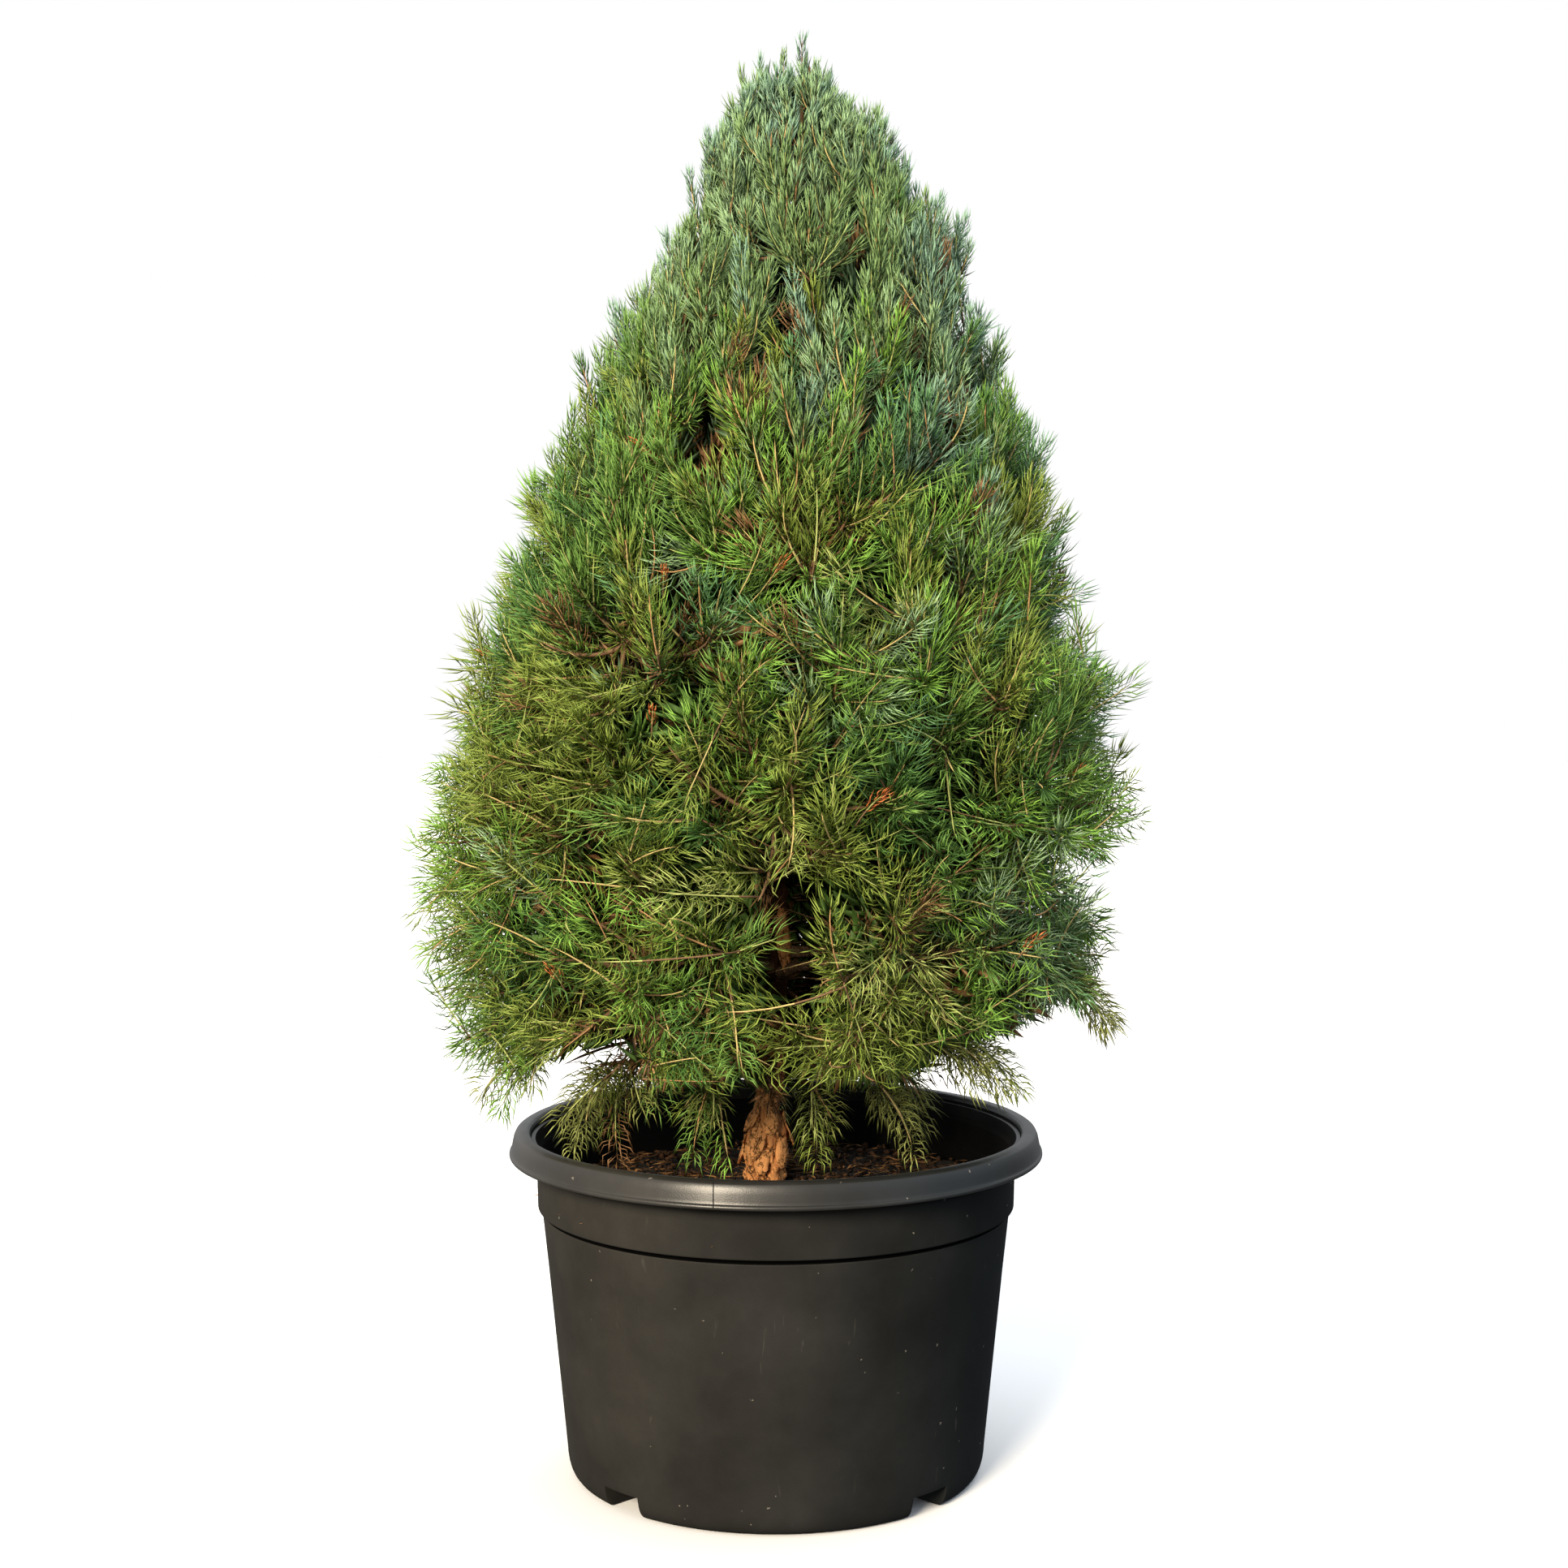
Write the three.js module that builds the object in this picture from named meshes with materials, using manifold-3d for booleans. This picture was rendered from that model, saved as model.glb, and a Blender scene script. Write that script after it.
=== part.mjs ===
// A young lacebark pine in a black nursery pot: the pot and its growing mix, the leaning trunk,
// the boughs that leave it in tiers, and the masses of needles that they carry.
// Millimetres, +Z up. The origin is the middle of the pot's flat underside, and -Y is the front.
import * as THREE from 'three';
import { mergeVertices } from 'three/addons/utils/BufferGeometryUtils.js';
import Module from 'manifold-3d';

const wasm = await Module();
wasm.setup();

// Driving dimensions of the pot.
const POT_TOP = 324;
const LIP_RADIUS = 250;
const LIP_Z = 300;
const MOUTH_RADIUS = 230;
const BAND_RADIUS = 224;
const STEP_Z = 250;
const STEP_RADIUS = 219;
const STEP_RISE = 7;
const BASE_RADIUS = 197;
const FOOT_RADIUS = 185;
const CORNER_Z = 26;
const WALL = 4;
const FLOOR = 5;
const POT_SIDES = 40;
const NOTCH_COUNT = 4;
const NOTCH_TURN = 45;
const NOTCH_WIDTH = 18;
const NOTCH_HEIGHT = 20;
const NOTCH_DEPTH = 46;
const DRAIN_LENGTH = 26;
const DRAIN_WIDTH = 12;

// Driving dimensions of the growing mix and the trunk.
const GAP = 0.3;
const SOIL_EDGE_Z = 261;
const SOIL_Z = 268;
const SOIL_FLAT_RADIUS = 40;
const TRUNK_FOOT = new THREE.Vector2(-12, 0);
const TREE_TOP = 1337;
const TREE_LEAN = 36;
const TRUNK_TIP_Z = 1205;
const TRUNK_RADIUS = 18.5;
const TRUNK_TIP_RADIUS = 3.2;
const FLARE = 7;
const FLARE_HEIGHT = 20;
const TRUNK_SWAY = 5;

// Driving dimensions of the crown.
const CROWN_RADIUS = 330;
const CROWN_BELLY_Z = 620;
const CROWN_UNDERSIDE_Z = 345;
const CROWN_UNDER_DROP = 370;
const CROWN_TIPS = 156;
const OUTLINE_SLACK = 12;
const BOUGH_STAGGER = 20;
const BOUGH_SIDES = 5;
const BOUGH_STEPS = 3;
const SPACE_MARGIN = 2;
const LIMB_CLEARANCE = 3;
const CORE_DEPTH = 54;
const CORE_UNDERSIDE_Z = 372;
const BARE_MIDDLE_SHARE = 0.42;
const SHOOT_LENGTH = 80;
const SHOOT_THICKNESS = 8;
const NEEDLE_LENGTH = 46;
const TUFT_ROWS = 2;
const SEED = 20731;

// One line for each tier of masses, from the pot to the tip: the height of its masses' middles, how
// many stand round the trunk, how far they are turned from the front, and where they lie between
// the trunk and the crown's outline. A tier with no bough radius grows straight from the trunk.
const TIERS = [
  { name: 'skirt', z: 388, count: 5, turn: 0, out: 0.56, boughRadius: 6.2, boughRise: 4 },
  { name: 'low', z: 492, count: 6, turn: 30, out: 0.62, boughRadius: 6.6, boughRise: 26 },
  { name: 'middle', z: 622, count: 5, turn: 0, out: 0.6, boughRadius: 6.4, boughRise: 40 },
  { name: 'upper', z: 762, count: 4, turn: 52, out: 0.56, boughRadius: 5.6, boughRise: 52 },
  { name: 'shoulder', z: 898, count: 4, turn: 8, out: 0.54, boughRadius: 4.8, boughRise: 58 },
  { name: 'high', z: 1020, count: 3, turn: 60, out: 0.5, stemRise: 60 },
  { name: 'crest', z: 1128, count: 3, turn: 0, out: 0.46, stemRise: 54 },
];
const LEADER_Z = 1236;

// Where the crown's outline stands out of its even shape or falls short of it: the turn from the
// front and the height of each swelling, how far it stands out, and half its width in degrees and
// in millimetres of height.
const SWELLINGS = [
  { turn: 90, z: 1158, out: 20, turnSpan: 38, zSpan: 30 },
  { turn: -90, z: 1160, out: -28, turnSpan: 60, zSpan: 60 },
  { turn: -90, z: 985, out: -22, turnSpan: 50, zSpan: 50 },
  { turn: 90, z: 566, out: -30, turnSpan: 26, zSpan: 20 },
  { turn: -90, z: 400, out: 24, turnSpan: 50, zSpan: 30 },
  { turn: 84, z: 384, out: -34, turnSpan: 44, zSpan: 24 },
  { turn: 94, z: 424, out: 40, turnSpan: 9, zSpan: 9 },
];

// The narrow opening in the front of the crown, through which the trunk shows.
const CLEFT_X = 2;
const CLEFT_HALF_WIDTH = 27;
const CLEFT_LOW_Z = 446;
const CLEFT_HIGH_Z = 596;

// Sprays that hang from the skirt into the pot, by their turn from the front, either side of the
// trunk's bare foot, then on round the back.
const HANGER_TURNS = [-54, -29, 27, 66, 105, 140, 180, 215, 255];
const HANGER_RADII = [172, 118, 104, 150];
const HANGER_Z = 303;

const UP = new THREE.Vector3(0, 0, 1);
const radians = THREE.MathUtils.degToRad;

// A repeatable stream of numbers from 0 to 1.
function seededStream(seed) {
  let state = seed >>> 0;
  return () => {
    state = (state + 0x6d2b79f5) >>> 0;
    let mixed = Math.imul(state ^ (state >>> 15), state | 1);
    mixed ^= mixed + Math.imul(mixed ^ (mixed >>> 7), mixed | 61);
    return ((mixed ^ (mixed >>> 14)) >>> 0) / 4294967296;
  };
}

// The level direction that is turned so many degrees from the front, towards +X.
function outward(turn) {
  return new THREE.Vector3(Math.sin(radians(turn)), -Math.cos(radians(turn)), 0);
}

// The closed solid that a geometry's faces make, for joining and cutting.
function solidOf(geometry) {
  const bare = geometry.index ? geometry.toNonIndexed() : geometry.clone();
  bare.deleteAttribute('normal');
  bare.deleteAttribute('uv');
  const merged = mergeVertices(bare, 1e-3);
  return new wasm.Manifold(new wasm.Mesh({
    numProp: 3,
    vertProperties: merged.attributes.position.array,
    triVerts: new Uint32Array(merged.index.array),
  }));
}

// The largest body of a solid, without loose scraps and with any sealed hollow filled.
function mainBody(solid) {
  const bodies = solid.decompose();
  return bodies.reduce((best, body) => (body.volume() > best.volume() ? body : best));
}

function geometryOf(solid) {
  const mesh = solid.getMesh();
  const positions = new Float32Array(mesh.numVert * 3);
  for (let i = 0; i < mesh.numVert; i++) {
    const start = i * mesh.numProp;
    positions.set(mesh.vertProperties.subarray(start, start + 3), i * 3);
  }
  return new THREE.BufferGeometry()
    .setAttribute('position', new THREE.BufferAttribute(positions, 3))
    .setIndex(new THREE.BufferAttribute(mesh.triVerts, 1));
}

// A closed tapering limb with flat ends, along a curve.
function limbGeometry(curve, radiusAt, sides, steps) {
  const geometry = new THREE.CylinderGeometry(1, 1, 1, sides, steps);
  const position = geometry.attributes.position;
  const across = new THREE.Vector3();
  const local = new THREE.Vector3();
  for (let i = 0; i < position.count; i++) {
    local.fromBufferAttribute(position, i);
    const t = local.y + 0.5;
    const along = curve.getTangent(t);
    across.crossVectors(along, Math.abs(along.z) > 0.9 ? new THREE.Vector3(0, 1, 0) : UP).normalize();
    const aside = new THREE.Vector3().crossVectors(across, along);
    const point = curve.getPoint(t)
      .addScaledVector(across, local.x * radiusAt(t))
      .addScaledVector(aside, local.z * radiusAt(t));
    position.setXYZ(i, point.x, point.y, point.z);
  }
  return geometry;
}

// The pot: a turned wall with a hollow rolled rim, a step under it and a rounded foot.
function outerWallRadius(z) {
  const share = (z - CORNER_Z) / (STEP_Z - CORNER_Z);
  return THREE.MathUtils.lerp(BASE_RADIUS, STEP_RADIUS, share);
}

function potProfile() {
  const corner = new THREE.QuadraticBezierCurve(
    new THREE.Vector2(FOOT_RADIUS, 0),
    new THREE.Vector2(BASE_RADIUS - 1, 0),
    new THREE.Vector2(BASE_RADIUS, CORNER_Z),
  );
  const rimCrest = new THREE.SplineCurve([
    new THREE.Vector2(LIP_RADIUS - 4, LIP_Z + 12),
    new THREE.Vector2(LIP_RADIUS - 6, POT_TOP - 5),
    new THREE.Vector2((LIP_RADIUS + MOUTH_RADIUS) / 2 - 2, POT_TOP),
    new THREE.Vector2(MOUTH_RADIUS, POT_TOP - 4),
  ]);
  const innerCorner = new THREE.QuadraticBezierCurve(
    new THREE.Vector2(BASE_RADIUS - WALL, CORNER_Z),
    new THREE.Vector2(BASE_RADIUS - WALL - 1, FLOOR),
    new THREE.Vector2(FOOT_RADIUS - WALL, FLOOR),
  );
  return [
    new THREE.Vector2(0, 0),
    ...corner.getPoints(3),
    new THREE.Vector2(STEP_RADIUS, STEP_Z),
    new THREE.Vector2(BAND_RADIUS - 1, STEP_Z + STEP_RISE),
    new THREE.Vector2(BAND_RADIUS + 1, POT_TOP - WALL - 3),
    new THREE.Vector2(LIP_RADIUS - 10, POT_TOP - WALL - 3),
    new THREE.Vector2(LIP_RADIUS - WALL, LIP_Z + 1),
    new THREE.Vector2(LIP_RADIUS - 1, LIP_Z),
    new THREE.Vector2(LIP_RADIUS, LIP_Z + 3),
    ...rimCrest.getPoints(4),
    new THREE.Vector2(BAND_RADIUS - WALL + 1, LIP_Z + 2),
    new THREE.Vector2(BAND_RADIUS - WALL - 1, STEP_Z + STEP_RISE),
    new THREE.Vector2(STEP_RADIUS - WALL, STEP_Z),
    ...innerCorner.getPoints(2),
    new THREE.Vector2(0, FLOOR),
  ];
}

// A block that fills a sector of a ring, centred on a turn from the front.
function sectorBlock(turn, width, innerRadius, outerRadius, lowZ, highZ) {
  const start = radians(turn - width / 2 - 90);
  const end = radians(turn + width / 2 - 90);
  const outline = new THREE.Shape();
  outline.absarc(0, 0, outerRadius, start, end, false);
  outline.absarc(0, 0, innerRadius, end, start, true);
  outline.closePath();
  const block = new THREE.ExtrudeGeometry(outline, {
    depth: highZ - lowZ,
    bevelEnabled: false,
    curveSegments: 4,
  });
  return block.translate(0, 0, lowZ);
}

function notchTurns() {
  return Array.from({ length: NOTCH_COUNT }, (_, k) => NOTCH_TURN + (k * 360) / NOTCH_COUNT);
}

// Degrees that a length takes up at a radius.
function degreesFor(length, radius) {
  return THREE.MathUtils.radToDeg(length / radius);
}

function potSolid() {
  const turned = new THREE.LatheGeometry(potProfile(), POT_SIDES).rotateX(Math.PI / 2);
  let pot = solidOf(turned);
  const pocketInner = FOOT_RADIUS - NOTCH_DEPTH;
  for (const turn of notchTurns()) {
    const pocket = sectorBlock(turn, NOTCH_WIDTH + 2 * degreesFor(WALL, FOOT_RADIUS),
      pocketInner - WALL, BASE_RADIUS - WALL / 2, FLOOR / 2, NOTCH_HEIGHT + WALL);
    pot = pot.add(solidOf(pocket));
  }
  for (const turn of notchTurns()) {
    const opening = sectorBlock(turn, NOTCH_WIDTH, pocketInner, LIP_RADIUS, -1, NOTCH_HEIGHT);
    const drainMiddle = pocketInner + NOTCH_DEPTH / 2;
    const drain = sectorBlock(turn, degreesFor(DRAIN_LENGTH, drainMiddle),
      drainMiddle - DRAIN_WIDTH / 2, drainMiddle + DRAIN_WIDTH / 2,
      NOTCH_HEIGHT - 1, NOTCH_HEIGHT + WALL + 1);
    pot = pot.subtract(solidOf(opening)).subtract(solidOf(drain));
  }
  return mainBody(pot);
}

// The growing mix: it fills the pot to a little under the step, and is heaped up to the trunk.
function soilTopZ(x, y) {
  const radius = Math.hypot(x, y);
  const heap = THREE.MathUtils.smoothstep(radius, SOIL_FLAT_RADIUS, SOIL_FLAT_RADIUS * 4);
  const lumps = 2.5 * Math.sin(x / 23) * Math.cos(y / 19) * heap;
  return THREE.MathUtils.lerp(SOIL_Z, SOIL_EDGE_Z, heap) + lumps;
}

function soilSolid() {
  const inset = WALL + 2 * GAP;
  const topRadius = BAND_RADIUS - 1 - inset - 1;
  const rings = 5;
  const profile = [
    new THREE.Vector2(0, FLOOR + GAP),
    new THREE.Vector2(FOOT_RADIUS - inset - 4, FLOOR + GAP),
    new THREE.Vector2(BASE_RADIUS - inset - 2, CORNER_Z),
    new THREE.Vector2(STEP_RADIUS - inset, STEP_Z),
    new THREE.Vector2(topRadius - 2, SOIL_EDGE_Z - 2),
  ];
  for (let k = 0; k <= rings; k++) {
    profile.push(new THREE.Vector2(topRadius * (1 - k / rings) - (k === 0 ? 2 : 0), SOIL_Z));
  }
  const geometry = new THREE.LatheGeometry(profile, POT_SIDES / 2).rotateX(Math.PI / 2);
  const position = geometry.attributes.position;
  for (let i = 0; i < position.count; i++) {
    if (position.getZ(i) > SOIL_Z - 0.5) {
      const x = position.getX(i);
      const y = position.getY(i);
      position.setXYZ(i, x, y, soilTopZ(x, y));
    }
  }
  let soil = solidOf(geometry);
  for (const turn of notchTurns()) {
    const pocket = sectorBlock(turn, NOTCH_WIDTH + 2 * degreesFor(WALL + 2, FOOT_RADIUS),
      FOOT_RADIUS - NOTCH_DEPTH - WALL - 1, LIP_RADIUS, 0, NOTCH_HEIGHT + WALL + 1);
    soil = soil.subtract(solidOf(pocket));
  }
  return mainBody(soil);
}

// The trunk's centre line leans to the right and sways a little. It stands on the growing mix.
function trunkCentre(z) {
  const share = (z - SOIL_Z) / (TREE_TOP - SOIL_Z);
  const sway = TRUNK_SWAY * Math.sin(share * Math.PI * 3);
  return new THREE.Vector3(TRUNK_FOOT.x + TREE_LEAN * share + sway, TRUNK_FOOT.y + sway / 2, z);
}

function trunkRadius(z) {
  const share = (z - SOIL_Z) / (TRUNK_TIP_Z - SOIL_Z);
  const taper = THREE.MathUtils.lerp(TRUNK_RADIUS, TRUNK_TIP_RADIUS, Math.pow(Math.max(share, 0), 0.7));
  return taper + FLARE * Math.exp(-(z - SOIL_Z) / FLARE_HEIGHT);
}

function trunkSolid(grow) {
  const sides = 10;
  const steps = 11;
  const geometry = new THREE.CylinderGeometry(1, 1, 1, sides, steps).rotateX(Math.PI / 2);
  const position = geometry.attributes.position;
  for (let i = 0; i < position.count; i++) {
    const share = Math.pow(position.getZ(i) + 0.5, 1.6);
    const z = THREE.MathUtils.lerp(SOIL_Z + GAP, TRUNK_TIP_Z, share);
    const radius = trunkRadius(z) + grow;
    const centre = trunkCentre(z);
    position.setXYZ(i, centre.x + position.getX(i) * radius, centre.y + position.getY(i) * radius, z);
  }
  return solidOf(geometry);
}

// The crown's even shape: how far it reaches from the trunk's line at a height.
function crownRadius(z) {
  if (z >= CROWN_BELLY_Z) {
    const share = Math.min((z - CROWN_BELLY_Z) / (TREE_TOP - CROWN_BELLY_Z), 1);
    return CROWN_RADIUS * Math.pow(1 - Math.pow(share, 1.3), 0.8);
  }
  const drop = (CROWN_BELLY_Z - z) / CROWN_UNDER_DROP;
  return CROWN_RADIUS * (1 - Math.pow(drop, 3.5));
}

// The same with its swellings and hollows, at a turn from the front.
function crownReach(z, turn) {
  let reach = crownRadius(z);
  for (const swelling of SWELLINGS) {
    const aside = THREE.MathUtils.euclideanModulo(turn - swelling.turn + 180, 360) - 180;
    const away = Math.hypot(aside / swelling.turnSpan, (z - swelling.z) / swelling.zSpan);
    reach += swelling.out * Math.exp(-away * away);
  }
  return reach;
}

function turnOf(x, y) {
  return THREE.MathUtils.radToDeg(Math.atan2(x, -y));
}

// Shoots hang a little at the skirt and stand ever steeper towards the tip.
function shootElevation(z) {
  const share = THREE.MathUtils.clamp((z - CROWN_UNDERSIDE_Z) / (1300 - CROWN_UNDERSIDE_Z), 0, 1);
  return -30 + 115 * Math.pow(share, 0.8);
}

// Shoots are smaller where the crown narrows to its tip.
function shootSize(z) {
  return THREE.MathUtils.clamp(crownRadius(z) / 150, 0.42, 1);
}

// Where each mass sits, and the bough or piece of trunk that its stem grows on from.
function placeMasses() {
  const masses = [];
  for (const tier of TIERS) {
    for (let k = 0; k < tier.count; k++) {
      const turn = tier.turn + (k * 360) / tier.count;
      const reach = crownRadius(tier.z) * tier.out;
      const middle = trunkCentre(tier.z).addScaledVector(outward(turn), reach);
      masses.push({ name: `${tier.name}_mass_${k + 1}`, tier, index: k + 1, turn, reach, middle });
    }
  }
  const middle = trunkCentre(LEADER_Z);
  masses.push({ name: 'leader_mass', tier: null, index: 1, turn: 0, reach: 0, middle });
  return masses;
}

const masses = placeMasses();

// A bough leaves the trunk, rises and levels out until it enters its mass. With extra length it
// marks the room that its mass leaves free for it.
function boughCurve(mass, extra) {
  const { tier, turn, reach, index } = mass;
  const startZ = tier.z - tier.boughRise + BOUGH_STAGGER * (((index * 3) % 7) / 3 - 1);
  const start = trunkCentre(startZ);
  const end = trunkCentre(tier.z - tier.boughRise * 0.25).addScaledVector(outward(turn), reach * BARE_MIDDLE_SHARE);
  const bend = start.clone().lerp(end, 0.5).addScaledVector(UP, tier.boughRise * 0.16);
  const onward = end.clone().sub(bend).normalize();
  return new THREE.QuadraticBezierCurve3(start, bend, end.addScaledVector(onward, extra));
}

function boughRadiusAt(mass) {
  const tip = mass.tier.boughRadius * 0.62;
  return (t) => THREE.MathUtils.lerp(mass.tier.boughRadius, tip, t);
}

for (const mass of masses) {
  if (mass.tier?.boughRadius) {
    mass.bough = boughCurve(mass, 0);
    mass.boughRadiusAt = boughRadiusAt(mass);
  }
}

// Points along every limb with its radius there, for keeping foliage clear of the limbs.
const limbBeads = [];
for (let z = SOIL_Z; z <= TRUNK_TIP_Z; z += 8) {
  limbBeads.push({ point: trunkCentre(z), radius: trunkRadius(z), owner: null });
}
for (const mass of masses) {
  if (!mass.bough) continue;
  for (const t of Array.from({ length: 13 }, (_, k) => k / 12)) {
    limbBeads.push({ point: mass.bough.getPoint(t), radius: mass.boughRadiusAt(t), owner: mass });
  }
}

// Whether a point is nearer to its own mass's middle than to any other, by the margin.
function inOwnSpace(point, mass) {
  for (const other of masses) {
    if (other === mass) continue;
    const between = other.middle.clone().sub(mass.middle);
    const halfway = mass.middle.clone().add(other.middle).multiplyScalar(0.5);
    const past = point.clone().sub(halfway).dot(between) / between.length();
    if (past > -SPACE_MARGIN) return false;
  }
  return true;
}

function insideCrown(point, slack) {
  const centre = trunkCentre(point.z);
  const [x, y] = [point.x - centre.x, point.y - centre.y];
  const reach = crownReach(Math.max(point.z, CROWN_UNDERSIDE_Z), turnOf(x, y));
  return point.z <= TREE_TOP + slack / 6 && Math.hypot(x, y) <= reach + slack;
}

function clearOfCleft(point) {
  const aside = Math.abs(point.x - CLEFT_X) < CLEFT_HALF_WIDTH;
  return !(aside && point.y < 0 && point.z > CLEFT_LOW_Z && point.z < CLEFT_HIGH_Z);
}

// Over the rim outside, and over the growing mix inside the pot.
function clearOfPot(point) {
  const radius = Math.hypot(point.x, point.y);
  if (point.z > POT_TOP + 6) return true;
  return radius < BAND_RADIUS - WALL - 14 && point.z > SOIL_Z + 8;
}

function clearOfLimbs(point, clearance) {
  return limbBeads.every(({ point: bead, radius }) => point.distanceTo(bead) > radius + clearance);
}

// Whether a needle or a twig may pass through a point.
function isFree(point, mass) {
  return insideCrown(point, OUTLINE_SLACK) && clearOfPot(point) && clearOfCleft(point)
    && inOwnSpace(point, mass) && clearOfLimbs(point, LIMB_CLEARANCE);
}

// Whether the dense heart of a mass may reach a point: it stays within the sprays, over the pot,
// and outside the bare middle of the tree that the boughs cross.
function inHeart(point, mass) {
  const centre = trunkCentre(point.z);
  const fromTrunk = Math.hypot(point.x - centre.x, point.y - centre.y);
  const depth = CORE_DEPTH * shootSize(point.z);
  return fromTrunk > mass.reach * BARE_MIDDLE_SHARE && insideCrown(point, -depth) && inOwnSpace(point, mass)
    && point.z > CORE_UNDERSIDE_Z && point.z < TREE_TOP - 45 && clearOfCleft(point)
    && clearOfLimbs(point, LIMB_CLEARANCE);
}

// The dense heart of a mass: a rounded lump that fills out its space.
function coreSolid(mass, random) {
  const lump = new THREE.IcosahedronGeometry(1, 1);
  const position = lump.attributes.position;
  const direction = new THREE.Vector3();
  const shares = new Map();
  for (let i = 0; i < position.count; i++) {
    direction.fromBufferAttribute(position, i).normalize();
    let reach = 8;
    while (inHeart(mass.middle.clone().addScaledVector(direction, reach + 4), mass)) reach += 4;
    const key = direction.toArray().map((value) => value.toFixed(3)).join();
    if (!shares.has(key)) shares.set(key, THREE.MathUtils.lerp(0.93, 1, random()));
    const point = mass.middle.clone().addScaledVector(direction, reach * shares.get(key));
    position.setXYZ(i, point.x, point.y, point.z);
  }
  return solidOf(lump);
}

// The stem that a mass grows on: from its bough's tip, or out of the trunk, to past its middle.
function stemCurve(mass) {
  if (!mass.tier) {
    const start = trunkCentre(TRUNK_TIP_Z).addScaledVector(UP, GAP);
    return new THREE.LineCurve3(start, trunkCentre(TREE_TOP - 50));
  }
  const away = outward(mass.turn);
  const end = mass.middle.clone().addScaledVector(away, mass.reach * 0.35)
    .addScaledVector(UP, 0.2 * Math.sin(radians(shootElevation(mass.middle.z))) * mass.reach);
  if (mass.bough) {
    const onward = mass.bough.getTangent(1);
    const start = mass.bough.getPoint(1).addScaledVector(onward, GAP);
    const lead = start.clone().addScaledVector(onward, mass.reach * 0.25);
    return new THREE.CubicBezierCurve3(start, lead, mass.middle, end);
  }
  const start = trunkCentre(mass.tier.z - mass.tier.stemRise);
  return new THREE.QuadraticBezierCurve3(start, mass.middle, end);
}

// A three-sided twig whose outer part carries tufts of needles, all one closed skin.
// Each face between two rings there is drawn out into a point that leans forward.
function shootGeometry(curve, bareShare, tuftRows, thickness, needle) {
  const sides = 3;
  const stations = [0, bareShare];
  for (let k = 1; k <= tuftRows; k++) {
    stations.push(THREE.MathUtils.lerp(bareShare, 0.9, k / tuftRows));
  }
  const points = [];
  const rings = stations.map((t, k) => {
    const along = curve.getTangent(t);
    const across = new THREE.Vector3().crossVectors(along, Math.abs(along.z) > 0.95
      ? new THREE.Vector3(1, 0, 0) : UP).normalize();
    const aside = new THREE.Vector3().crossVectors(along, across);
    const radius = k === 0 ? thickness * 0.5 : thickness * (1 - 0.35 * t);
    const centre = curve.getPoint(t);
    return Array.from({ length: sides }, (_, s) => {
      const angle = (s * 2 * Math.PI) / sides + k * 0.45;
      const spoke = across.clone().multiplyScalar(Math.cos(angle)).addScaledVector(aside, Math.sin(angle));
      points.push(centre.clone().addScaledVector(spoke, radius));
      return points.length - 1;
    });
  });
  const faces = [[rings[0][2], rings[0][1], rings[0][0]]];
  for (let k = 0; k + 1 < rings.length; k++) {
    for (let s = 0; s < sides; s++) {
      const [a, b] = [rings[k][s], rings[k][(s + 1) % sides]];
      const [c, d] = [rings[k + 1][(s + 1) % sides], rings[k + 1][s]];
      if (k === 0) {
        faces.push([a, b, c], [a, c, d]);
        continue;
      }
      const middle = points[a].clone().add(points[b]).add(points[c]).add(points[d]).multiplyScalar(0.25);
      const along = curve.getTangent((stations[k] + stations[k + 1]) / 2);
      const out = middle.clone().sub(curve.getPoint((stations[k] + stations[k + 1]) / 2)).normalize();
      points.push(middle.addScaledVector(out, needle * 0.52).addScaledVector(along, needle * 0.72));
      const apex = points.length - 1;
      faces.push([a, b, apex], [b, c, apex], [c, d, apex], [d, a, apex]);
    }
  }
  points.push(curve.getPoint(1));
  const tip = points.length - 1;
  const last = rings[rings.length - 1];
  for (let s = 0; s < sides; s++) faces.push([last[s], last[(s + 1) % sides], tip]);
  const geometry = new THREE.BufferGeometry().setFromPoints(points);
  geometry.setIndex(faces.flat());
  return { geometry, points };
}

// The path of a shoot: out of the stem, then bending into the way that shoots grow there.
function shootCurve(stem, mass, tip, growth) {
  const span = stem.getPoint(1).sub(stem.getPoint(0));
  const along = tip.clone().sub(stem.getPoint(0)).dot(span) / span.lengthSq();
  const root = stem.getPoint(THREE.MathUtils.clamp(along - 0.3, 0.25, 0.9));
  const length = tip.distanceTo(root);
  const bend = tip.clone().addScaledVector(growth, -0.55 * length).lerp(root, 0.25);
  return new THREE.QuadraticBezierCurve3(root, bend, tip);
}

// Tips spread evenly over the crown's outline, by area down its height and by the golden angle
// round it, then the hanging sprays.
function shootTips(random) {
  const steps = 200;
  const heights = Array.from({ length: steps + 1 },
    (_, k) => THREE.MathUtils.lerp(TREE_TOP - 14, CROWN_UNDERSIDE_Z + 8, k / steps));
  const areas = [0];
  for (let k = 1; k <= steps; k++) {
    const slope = crownRadius(heights[k]) - crownRadius(heights[k - 1]);
    const width = (crownRadius(heights[k]) + 8) / Math.sqrt(shootSize(heights[k]));
    areas.push(areas[k - 1] + width * Math.hypot(slope, heights[k] - heights[k - 1]));
  }
  const tips = [{ z: TREE_TOP, turn: 0, share: 0, elevation: 90 }];
  for (let k = 0; k < CROWN_TIPS; k++) {
    const area = (areas[steps] * (k + 0.5)) / CROWN_TIPS;
    const z = heights[areas.findIndex((value) => value >= area)];
    const turn = k * 137.508 + 20 * random();
    const share = 0.9 + 0.1 * random();
    tips.push({ z, turn, share, elevation: shootElevation(z) + 24 * (random() - 0.5) });
  }
  return tips;
}

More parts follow.
